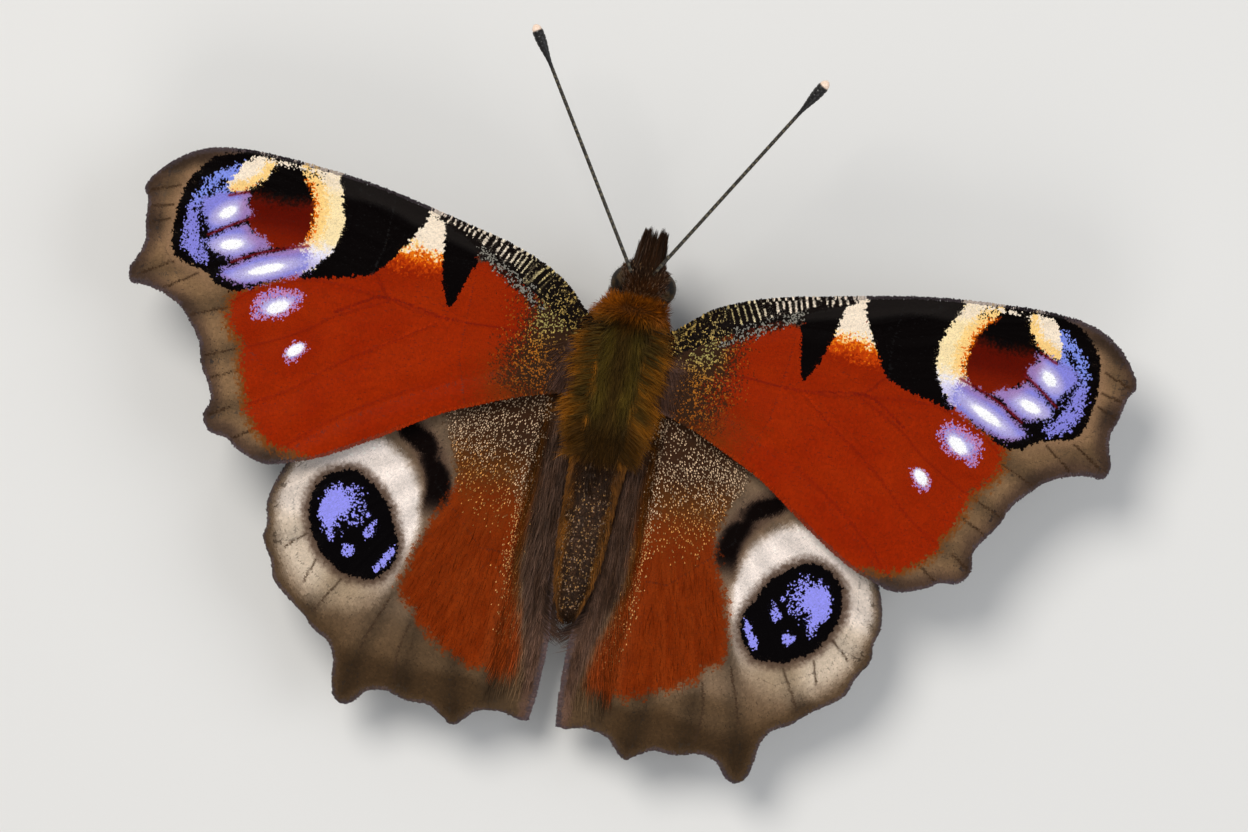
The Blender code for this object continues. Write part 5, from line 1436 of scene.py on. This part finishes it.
def bodyHair(seed, spacing, back, front, length, width, rise, bright, pick, lieOf):
    # hair over a stretch of the body; a lie shorter than 1 makes shorter hair that stands up
    draw = np.random.RandomState(seed)
    y, angle = bodySpots(draw, spacing, back, front)
    keep = draw.rand(len(y)) < pick(y, angle)
    y, angle = y[keep], angle[keep]
    clear = outsideEyes(bodyPoints(y, angle), 1.0)
    y, angle = y[clear], angle[clear]
    roots, normal, ahead, around = bodyFrame(y, angle)
    count = len(y)
    forward, aside, up = lieOf(y, angle)
    swirl = softNoise(np.stack([angle * 2, y], 1), 0.9, seed + 1) - 0.5
    lie = ahead * forward[:, None] + around * (aside + 0.5 * swirl + 0.25 * (draw.rand(count) - 0.5))[:, None]
    lie = lie / np.maximum(np.linalg.norm(lie, axis=1, keepdims=True), 1)
    paint = paintBody(roots, seed) * (bright * (0.78 + 0.44 * draw.rand(count, 1)))
    clumps = softNoise(np.stack([angle * 2, y], 1), 0.4, seed + 2)
    return hairs(roots, lie, normal, length * (0.65 + 0.4 * clumps + 0.3 * draw.rand(count)),
                 np.full(count, width), up * rise * (0.5 + draw.rand(count)), (draw.rand(count) - 0.5) * 0.4,
                 paint, bodyUnwrap(y, angle), tipLit=1.02, rootShade=0.74)


def downSides(angle):
    # towards the feet on the upper half, and nothing underneath
    return -np.sign(np.cos(angle)) * np.abs(np.cos(angle)) * (np.sin(angle) > -0.2)


def thoraxChance(y, angle):
    return np.sin(angle) > -0.25


def thoraxLie(y, angle):
    # backward over the thorax; the collar stands up and turns forward
    turned = smoothStep((y - 3.3) / 1.4)
    return -1 + 1.4 * turned, 0.3 * downSides(angle) * (1 - turned), 0.5 + 0.7 * smoothStep((y - 2.0) / 2.4)


def chestChance(y, angle):
    return np.sin(angle) < -0.05


def shoulderChance(y, angle):
    # the strips above the wing roots, from where the hair falls outward over the wings
    high = smoothStep((np.sin(angle) - 0.55) / 0.1) * smoothStep((0.93 - np.sin(angle)) / 0.1)
    return 0.9 * high * smoothStep((3.6 - y) / 1.0)


def shoulderLie(y, angle):
    return np.full(len(y), -0.55), -0.95 * np.sign(np.cos(angle)), np.full(len(y), 1.0)


def abdomenHairChance(y, angle):
    sides = smoothStep((np.abs(np.cos(angle)) - 0.75) / 0.2)
    first = smoothStep((y + 8.5) / 2.5)
    last = smoothStep((-15.0 - y) / 0.5)
    return np.clip(0.55 * sides + 0.7 * first + last + 0.15 * (np.sin(angle) < -0.3), 0, 1)


def abdomenLie(y, angle):
    return np.full(len(y), -1.0), 0.25 * downSides(angle), np.full(len(y), 0.5)


def abdomenScales():
    hue = bodyForm["colours"]
    draw = np.random.RandomState(330)
    y, angle = bodySpots(draw, 0.09, -15.9, -4.8)
    roots, normal, ahead, around = bodyFrame(y, angle)
    count = len(y)
    lie = unit(-ahead + around * ((draw.rand(count) - 0.5) * 0.5)[:, None])
    flecks = (0.09 + 0.08 * smoothStep((-7 - y) / 2)) * (np.sin(angle) > -0.3)
    paint = cover(paintBody(roots, 330), mixPaint(hue["gold"], hue["grey"], draw.rand(count)), flecks, draw)
    paint = np.clip(paint * (0.75 + 0.5 * draw.rand(count, 1)), 0, 255)
    size = 0.85 + 0.3 * draw.rand(count)
    return wingScales(roots, lie, normal, 0.18 * size, 0.105 * size, 0.03 * size, paint, bodyUnwrap(y, angle))


browForm = {
    "tips": [(0.02, 9.45, 6.35), (0.34, 9.60, 6.70), (0.66, 9.45, 6.80), (1.02, 9.65, 6.65), (1.30, 9.40, 6.30)],
    "back": 6.0, "front": 7.2, "spacing": 0.047, "width": 0.058,
}


def browBrush():
    # the tuft between and over the palps, its hairs drawn together into five points
    draw = np.random.RandomState(360)
    form = browForm
    y, angle = bodySpots(draw, form["spacing"], form["back"], form["front"])
    above = (np.sin(angle) > 0.0) & outsideEyes(bodyPoints(y, angle), 1.0)
    y, angle = y[above], angle[above]
    roots, normal, ahead, around = bodyFrame(y, angle)
    tips = np.array(form["tips"])
    spread = 0.5 + (tips[:, 0] - tips[:, 0].mean()) * 1.15
    choice = np.abs(roots[:, :1] + 0.25 * draw.randn(len(y), 1) - spread).argmin(1)
    way = tips[choice] - roots
    length = np.linalg.norm(way, axis=1) * (0.55 + 0.45 * draw.rand(len(y)) ** 0.7)
    paint = cover(paintBody(roots, 360), bodyForm["colours"]["grey"], np.full(len(y), 0.06), draw)
    paint = paint * (0.95 * (0.7 + 0.6 * draw.rand(len(y), 1)))
    return hairs(roots, unit(way), normal, length, np.full(len(y), form["width"]), np.full(len(y), 0.05),
                 (draw.rand(len(y)) - 0.5) * 0.06, paint, bodyUnwrap(y, angle), tipLit=0.85, rootShade=0.95)


def crownScales():
    # short pale flecks among the hair on the top of the head
    hue = bodyForm["colours"]
    draw = np.random.RandomState(370)
    y, angle = bodySpots(draw, 0.16, 4.8, 7.1)
    keep = (draw.rand(len(y)) < 0.55) & (np.sin(angle) > -0.3) & outsideEyes(bodyPoints(y, angle), 1.0)
    y, angle = y[keep], angle[keep]
    roots, normal, ahead, around = bodyFrame(y, angle)
    count = len(y)
    lie = unit(ahead + around * (draw.rand(count, 1) - 0.5))
    paint = mixPaint(hue["gold"], hue["grey"], 0.5 + 0.5 * draw.rand(count)) * (0.8 + 0.6 * draw.rand(count, 1))
    return hairs(roots, lie, normal, 0.30 + 0.15 * draw.rand(count), np.full(count, 0.05),
                 np.full(count, 0.9), np.zeros(count), paint, bodyUnwrap(y, angle))


def crownChance(y, angle):
    return np.ones(len(y))


def headLie(y, angle):
    return np.full(len(y), 0.8), 0.5 * downSides(angle), np.full(len(y), 1.0)


def makeBodyCoat():
    fur = materials["fur"]
    makeBodySkin()
    thorax = joinShapes([bodyHair(310, 0.085, -5.4, 4.75, 0.95, 0.053, 0.45, 1.45, thoraxChance, thoraxLie),
                         bodyHair(315, 0.070, -5.2, 3.6, 1.35, 0.043, 0.62, 1.4, shoulderChance, shoulderLie)])
    newPiece("thorax_fur", *thorax[:2], fur, "fur", (), *thorax[2:])
    chest = bodyHair(320, 0.15, -5.4, 4.75, 1.1, 0.08, 0.4, 1.45, chestChance, thoraxLie)
    newPiece("chest_fur", *chest[:2], fur, "fur", (), *chest[2:])
    tailHair = bodyHair(340, 0.105, -15.8, -5.0, 0.75, 0.047, 0.30, 1.05, abdomenHairChance, abdomenLie)
    tail = joinShapes([abdomenScales(), tailHair])
    newPiece("abdomen_coat", *tail[:2], fur, "abdomen", (), *tail[2:])
    crown = bodyHair(350, 0.066, 4.7, 7.15, 0.42, 0.048, 0.8, 1.3, crownChance, headLie)
    headCoat = joinShapes([crown, crownScales(), browBrush()])
    newPiece("head_coat", *headCoat[:2], fur, "head", (), *headCoat[2:])
    print("body:", len(thorax[1]), len(chest[1]), len(tail[1]), len(headCoat[1]), "coat triangles")


makeBodyCoat()


# Eyes, feelers, tongue and legs: round pieces along a path of x, y, z and radius

def tubeFrame(path):
    # the directions along, across and up at each point of a path, turned as little as possible
    ahead = unit(np.gradient(path[:, :3], axis=0))
    reference = np.array((0.0, 0.0, 1.0)) if abs(ahead[0][2]) < 0.9 else np.array((1.0, 0.0, 0.0))
    side = unit(np.cross(ahead[0], reference))
    across = []
    for direction in ahead:
        side = unit(side - direction * (side @ direction))
        across.append(side)
    across = np.array(across)
    return ahead, across, np.cross(across, ahead)


def tubeGrid(path, sides):
    _, across, up = tubeFrame(path)
    angle = np.arange(sides) * 2 * math.pi / sides
    ring = across[:, None] * np.cos(angle)[None, :, None] + up[:, None] * np.sin(angle)[None, :, None]
    return path[:, None, :3] + ring * path[:, None, 3:4]


def tubeHair(path, count, seed, length, width, rise, paint, bright, start=0.0, end=1.0, taper=0.0):
    draw = np.random.RandomState(seed)
    ahead, across, up = tubeFrame(path)
    t = start + (end - start) * draw.rand(count)
    row = t * (len(path) - 1)
    low = np.minimum(row.astype(int), len(path) - 2)
    share = (row - low)[:, None]
    place = path[low] * (1 - share) + path[low + 1] * share
    angle = draw.rand(count) * 2 * math.pi
    normal = unit(across[low] * np.cos(angle)[:, None] + up[low] * np.sin(angle)[:, None])
    lie = unit(ahead[low] + np.cross(normal, ahead[low]) * (draw.rand(count, 1) - 0.5) * 0.5)
    colour = np.clip(paint(t, angle) * bright * (0.7 + 0.6 * draw.rand(count, 1)), 0, 255)
    unwrap = 0.01 + 0.98 * np.stack([angle / (2 * math.pi), t], 1)
    return hairs(place[:, :3] + normal * (place[:, 3:4] * 0.95), lie, normal,
                 length * (1 - taper * t) * (0.6 + 0.8 * draw.rand(count)), np.full(count, width),
                 rise * (0.5 + draw.rand(count)), (draw.rand(count) - 0.5) * 0.3, colour, unwrap)


def tubePiece(name, path, sides, material, slotName, paint):
    rows = len(path)
    points, triangles, unwrap = closedLoft(tubeGrid(path, sides))
    t = np.append(np.repeat(np.arange(rows) / (rows - 1), sides), (0.0, 1.0))
    angle = np.append(np.tile(np.arange(sides) * 2 * math.pi / sides, rows), (0.0, 0.0))
    return newPiece(name, points, triangles, material, slotName, (name,), np.clip(paint(t, angle), 0, 255),
                    unwrap, smooth=True)


def onSide(path, side, centre=0.0):
    path = np.array(path, float)
    path[:, 0] = centre + side * path[:, 0]
    return path


def makeFacets():
    # a honeycomb of tiny lenses over a mottled ground
    group, source, sink = newGroup(
        "Eye facets",
        [("Dark", "NodeSocketColor", (0.02, 0.01, 0.01, 1)), ("Light", "NodeSocketColor", (0.06, 0.04, 0.02, 1)),
         ("Facets per metre", "NodeSocketFloat", 20000.0), ("Patches per metre", "NodeSocketFloat", 1500.0)],
        [("Colour", "NodeSocketColor"), ("Roughness", "NodeSocketFloat"), ("Height", "NodeSocketFloat")])
    nodes, links = group.nodes, group.links
    place = nodes.new("ShaderNodeTexCoord")
    lenses = nodes.new("ShaderNodeTexVoronoi")
    links.new(place.outputs["Object"], lenses.inputs["Vector"])
    links.new(source.outputs["Facets per metre"], lenses.inputs["Scale"])
    dome = nodes.new("ShaderNodeMath")
    dome.operation = "SUBTRACT"
    dome.inputs[0].default_value = 1.0
    links.new(lenses.outputs["Distance"], dome.inputs[1])
    patches = nodes.new("ShaderNodeTexNoise")
    patches.inputs["Detail"].default_value = 3.0
    links.new(place.outputs["Object"], patches.inputs["Vector"])
    links.new(source.outputs["Patches per metre"], patches.inputs["Scale"])
    spread = nodes.new("ShaderNodeMapRange")
    spread.inputs["From Min"].default_value = 0.38
    spread.inputs["From Max"].default_value = 0.62
    links.new(patches.outputs["Fac"], spread.inputs["Value"])
    mix = nodes.new("ShaderNodeMix")
    mix.data_type = "RGBA"
    links.new(spread.outputs["Result"], mix.inputs["Factor"])
    links.new(source.outputs["Dark"], mix.inputs["A"])
    links.new(source.outputs["Light"], mix.inputs["B"])
    gloss = nodes.new("ShaderNodeMapRange")
    gloss.inputs["To Min"].default_value = 0.42
    gloss.inputs["To Max"].default_value = 0.62
    links.new(lenses.outputs["Distance"], gloss.inputs["Value"])
    links.new(mix.outputs["Result"], sink.inputs["Colour"])
    links.new(gloss.outputs["Result"], sink.inputs["Roughness"])
    links.new(dome.outputs[0], sink.inputs["Height"])
    return group


def eyeMaterial():
    material = bpy.data.materials.new("compound eye")
    material.use_nodes = True
    nodes, links = material.node_tree.nodes, material.node_tree.links
    shader = nodes["Principled BSDF"]
    facets = nodes.new("ShaderNodeGroup")
    facets.node_tree = makeFacets()
    for label in ("dark", "light"):
        facets.inputs[label.capitalize()].default_value = (*toLinear(np.array(eyeForm[label], float)), 1)
    bump = nodes.new("ShaderNodeBump")
    bump.inputs["Strength"].default_value = 0.5
    bump.inputs["Distance"].default_value = 0.01 * mm
    links.new(facets.outputs["Colour"], shader.inputs["Base Color"])
    links.new(facets.outputs["Roughness"], shader.inputs["Roughness"])
    links.new(facets.outputs["Height"], bump.inputs["Height"])
    links.new(bump.outputs["Normal"], shader.inputs["Normal"])
    shader.inputs["Specular IOR Level"].default_value = 0.15
    shader.inputs["Coat Weight"].default_value = 0.05
    shader.inputs["Coat Roughness"].default_value = 0.2
    return material


def makeEyes():
    # each eye has sparse short hairs, and the fur of the head reaches over its inner part
    material = eyeMaterial()
    form, hue = eyeForm, bodyForm["colours"]
    for side, label in ((-1, "left"), (1, "right")):
        centre = np.array((form["middle"] + side * form["out"], form["y"], form["z"]))
        tilt, angle = np.meshgrid(np.linspace(0.03, math.pi - 0.03, form["rings"]),
                                  np.arange(form["sides"]) * 2 * math.pi / form["sides"], indexing="ij")
        ball = np.stack([np.cos(tilt), np.sin(tilt) * np.cos(angle), np.sin(tilt) * np.sin(angle)], -1)
        points, triangles, unwrap = closedLoft(centre + ball * form["radii"])
        newPiece("eye_" + label, points, triangles, material, "eye", ("eye_" + label,), None, unwrap, smooth=True)
        draw = np.random.RandomState(400 + side)
        way = unit(draw.randn(3000, 3))
        inner = smoothStep((0.22 - way[:, 0] * side + 0.3 * draw.rand(len(way))) / 0.3) * (way[:, 2] > -0.1)
        chance = np.where(way[:, 0] * side > -0.35, 0.11, 0.0)
        furry = draw.rand(len(way)) < inner
        keep = furry | (draw.rand(len(way)) < chance)
        way, furry = way[keep], furry[keep]
        count = len(way)
        forward = np.cross(np.cross(way, (0.35 * side, 1.0, 0.0)), way)
        lie = unit(np.where(furry[:, None], forward, 0) + 0.4 * np.cross(way, draw.randn(count, 3)))
        fur = mixPaint(hue["head"], hue["grey"], (draw.rand(count) < 0.25) * 0.85)
        paint = np.where(furry[:, None], fur * (0.8 + 0.6 * draw.rand(count, 1)), evenPaint(form["hair"], count))
        coat = hairs(centre + way * form["radii"], lie, way, np.where(furry, 0.32, 0.13),
                     np.where(furry, 0.045, 0.014), np.where(furry, 0.5, 1.4), np.zeros(count), paint,
                     0.5 + way[:, :2] * 0.4)
        newPiece("eye_hair_" + label, *coat[:2], materials["fur"], "eye", (), *coat[2:])


antennaForm = {
    "left": ((-0.42, 6.42, 7.15), (-9.50, 20.50, 9.45)), "right": ((0.90, 6.45, 7.15), (9.30, 20.50, 12.30)),
    "shaft": 0.12, "club": 0.36, "end": 0.27, "club from": 0.83, "club full": 0.955, "bow": 0.35,
    "rings": 340, "sides": 14, "segments": 46,
    "dark": (32, 27, 19), "pale": (88, 80, 62), "black": (12, 8, 6), "tip": (244, 216, 194),
}


def antennaPaint(t, angle):
    form = antennaForm
    speck = softNoise(np.stack([angle * 0.3, t * 60], 1), 0.35, 410)
    joint = smoothStep((0.32 - np.abs((t * form["segments"]) % 1 - 0.5)) / 0.12)
    fade = 1 - smoothStep((t - form["club from"] + 0.03) / 0.05)
    paint = mixPaint(form["dark"], form["pale"], joint * fade * smoothStep((speck - 0.30) / 0.25))
    paint = mixPaint(paint, form["black"], 1 - fade)
    return mixPaint(paint, form["tip"], smoothStep((t - 0.972) / 0.008))


def makeAntennae():
    form = antennaForm
    for label in ("left", "right"):
        base, tip = (np.array(end) for end in form[label])
        t = np.linspace(0, 1, form["rings"])
        swell = smoothStep((t - form["club from"]) / (form["club full"] - form["club from"]))
        radius = form["shaft"] + (form["club"] - form["shaft"]) * swell
        radius = radius * (1 - 0.10 * np.exp(-((t * form["segments"] + 0.5) % 1 - 0.5) ** 2 / 0.012))
        radius = radius * np.sqrt(np.clip(1 - ((t - 0.965) / 0.0355) ** 2 * (t > 0.965), 0.12, 1))
        path = base * (1 - t[:, None]) + tip * t[:, None]
        path[:, 2] += form["bow"] * np.sin(math.pi * t)
        tubePiece("antenna_" + label, np.hstack([path, radius[:, None]]), form["sides"], materials["horny limb"],
                  "antenna", antennaPaint)


mouthForm = {
    "palp middle": 0.6,
    "palp": [(0.45, 6.35, 5.40, 0.24), (0.50, 7.20, 5.62, 0.28), (0.53, 8.00, 5.96, 0.23),
             (0.52, 8.65, 6.26, 0.13), (0.50, 9.08, 6.44, 0.04)],
    "palp colour": (44, 31, 22), "palp grey": (112, 90, 76),
    "coil": {"y": 6.15, "z": 3.25, "outer": 0.85, "inner": 0.24, "turns": 2.6, "thick": 0.17, "thin": 0.10,
             "points": 150},
    "coil colour": (78, 44, 22), "coil dark": (34, 18, 10),
}


def palpPaint(t, angle):
    speck = softNoise(np.stack([angle, t * 9], 1), 0.5, 420)
    return mixPaint(mouthForm["palp colour"], mouthForm["palp grey"], 0.5 * smoothStep((speck - 0.55) / 0.2))


def coilPaint(t, angle):
    band = smoothStep((0.5 - np.abs((t * 75) % 1 - 0.5)) / 0.3)
    return mixPaint(mouthForm["coil dark"], mouthForm["coil colour"], band * (0.6 + 0.4 * np.sin(angle)))


def makeMouth():
    form = mouthForm
    for side, label in ((-1, "left"), (1, "right")):
        path = smoothLine(onSide(form["palp"], side, form["palp middle"]), 0.08)
        tubePiece("palp_" + label, path, 20, materials["body skin"], "palp", palpPaint)
        coat = tubeHair(path, 2300, 430 + side, 0.72, 0.052, 0.26, palpPaint, 1.15, taper=0.55)
        newPiece("palp_hair_" + label, *coat[:2], materials["fur"], "palp", (), *coat[2:])
    coil = form["coil"]
    t = np.linspace(0, 1, coil["points"])
    reach = coil["outer"] + (coil["inner"] - coil["outer"]) * t ** 0.85
    angle = 2 * math.pi * coil["turns"] * t
    path = np.stack([np.full(len(t), eyeForm["middle"]), coil["y"] - reach * np.sin(angle),
                     coil["z"] + reach * np.cos(angle), coil["thick"] + (coil["thin"] - coil["thick"]) * t], 1)
    lead = np.array([[eyeForm["middle"], coil["y"] + 0.1, coil["z"] + coil["outer"] + 1.2, coil["thick"]],
                     [eyeForm["middle"], coil["y"] + 0.12, coil["z"] + coil["outer"] + 0.5, coil["thick"]]])
    path = smoothLine(np.vstack([lead, path]), 0.05)
    tubePiece("proboscis", path, 14, materials["horny limb"], "proboscis", coilPaint)


legForm = {
    "midleg": [(1.20, 0.60, 3.95, 0.42), (1.75, 0.95, 2.60, 0.34), (2.30, 1.20, 2.72, 0.24),
               (3.70, 1.95, 3.95, 0.26), (5.20, 2.70, 4.90, 0.19), (5.50, 2.97, 4.66, 0.16),
               (6.40, 3.70, 2.80, 0.17), (7.25, 4.50, 0.95, 0.13), (7.60, 4.82, 0.22, 0.12),
               (8.10, 5.28, 0.13, 0.12), (8.80, 5.92, 0.13, 0.11), (9.40, 6.52, 0.15, 0.10)],
    "hindleg": [(1.20, -2.20, 3.85, 0.42), (1.75, -2.75, 2.50, 0.34), (2.25, -3.10, 2.52, 0.24),
                (3.50, -4.30, 3.35, 0.26), (4.90, -5.60, 4.14, 0.19), (5.15, -5.98, 3.95, 0.16),
                (5.85, -7.30, 2.45, 0.17), (6.55, -8.70, 0.95, 0.13), (6.78, -9.20, 0.24, 0.12),
                (7.05, -9.80, 0.13, 0.12), (7.40, -10.65, 0.13, 0.11), (7.72, -11.50, 0.15, 0.10)],
    "foreleg": [(1.05, 2.70, 3.92, 0.36), (1.25, 3.30, 2.77, 0.28), (1.42, 4.35, 3.15, 0.24),
                (1.50, 4.75, 3.20, 0.23), (1.25, 5.90, 3.55, 0.20), (1.02, 6.70, 3.75, 0.12)],
    "forelegs middle": 0.25,
    "thigh": (48, 35, 27), "shin": (96, 74, 50), "brush": (74, 58, 46),
    "claw": 0.28, "spur": 0.42,
}


def legPaint(t, angle):
    pale = smoothStep((t - 0.42) / 0.2)
    speck = softNoise(np.stack([angle, t * 25], 1), 0.6, 440) - 0.5
    ring = smoothStep((0.1 - np.abs((t * 26) % 1 - 0.5)) / 0.06) * smoothStep((t - 0.78) / 0.02)
    paint = mixPaint(legForm["thigh"], legForm["shin"], pale) * (1 + 0.5 * speck[:, None])
    return paint * (1 - 0.45 * ring[:, None])


def brushPaint(t, angle):
    return mixPaint(legForm["thigh"], legForm["brush"], smoothStep(t * 2 - 0.4))


def spine(start, way, length, radius, bend):
    # a small curved claw or spur, as a path of x, y, z and radius
    t = np.linspace(0, 1, 7)[:, None]
    return np.hstack([np.array(start) + np.array(way) * length * t + np.array(bend) * length * t * t,
                      radius * (1 - 0.9 * t)])


def spinePiece(path, paint):
    points, triangles, unwrap = closedLoft(tubeGrid(path, 6))
    return points, triangles, evenPaint(paint, len(points)), unwrap[:len(points)]


def makeLegs():
    material = materials["horny limb"]
    for side, label in ((-1, "left"), (1, "right")):
        for k, kind in enumerate(("foreleg", "midleg", "hindleg")):
            name = kind + "_" + label
            front = kind == "foreleg"
            path = smoothLine(onSide(legForm[kind], side, legForm["forelegs middle"] if front else 0.0), 0.08)
            tubePiece(name, path, 16, material, "leg", brushPaint if front else legPaint)
            seed = 450 + 10 * k + side
            if front:
                coat = [tubeHair(path, 1500, seed, 0.45, 0.048, 0.45, brushPaint, 1.3, start=0.15)]
            else:
                coat = [tubeHair(path, 650, seed, 0.26, 0.041, 0.3, legPaint, 1.2, start=0.05, end=0.6),
                        tubeHair(path, 500, seed + 3, 0.16, 0.026, 0.45, legPaint, 0.9, start=0.55, end=0.97)]
                ahead = unit(path[-1, :3] - path[-6, :3])
                across = unit(np.cross(ahead, (0, 0, 1)))
                ankle = path[int(len(path) * 0.74), :3]
                for turn in (-1, 1):
                    claw = spine(path[-2, :3], ahead * 0.8 + across * turn * 0.5, legForm["claw"], 0.045,
                                 np.array((0, 0, -0.25)))
                    spur = spine(ankle, ahead * 0.7 + across * turn * 0.4 + np.array((0, 0, -0.5)),
                                 legForm["spur"], 0.04, np.zeros(3))
                    coat += [spinePiece(claw, (30, 18, 10)), spinePiece(spur, (80, 58, 38))]
            coat = joinShapes(coat)
            coat[0][:, 2] = np.maximum(coat[0][:, 2], 0.006)      # the hair under the soles lies flat on the floor
            newPiece(name + "_hair", *coat[:2], materials["fur"], "leg", (), *coat[2:])


makeEyes()
makeAntennae()
makeMouth()
makeLegs()
print("eyes, feelers, tongue and legs")
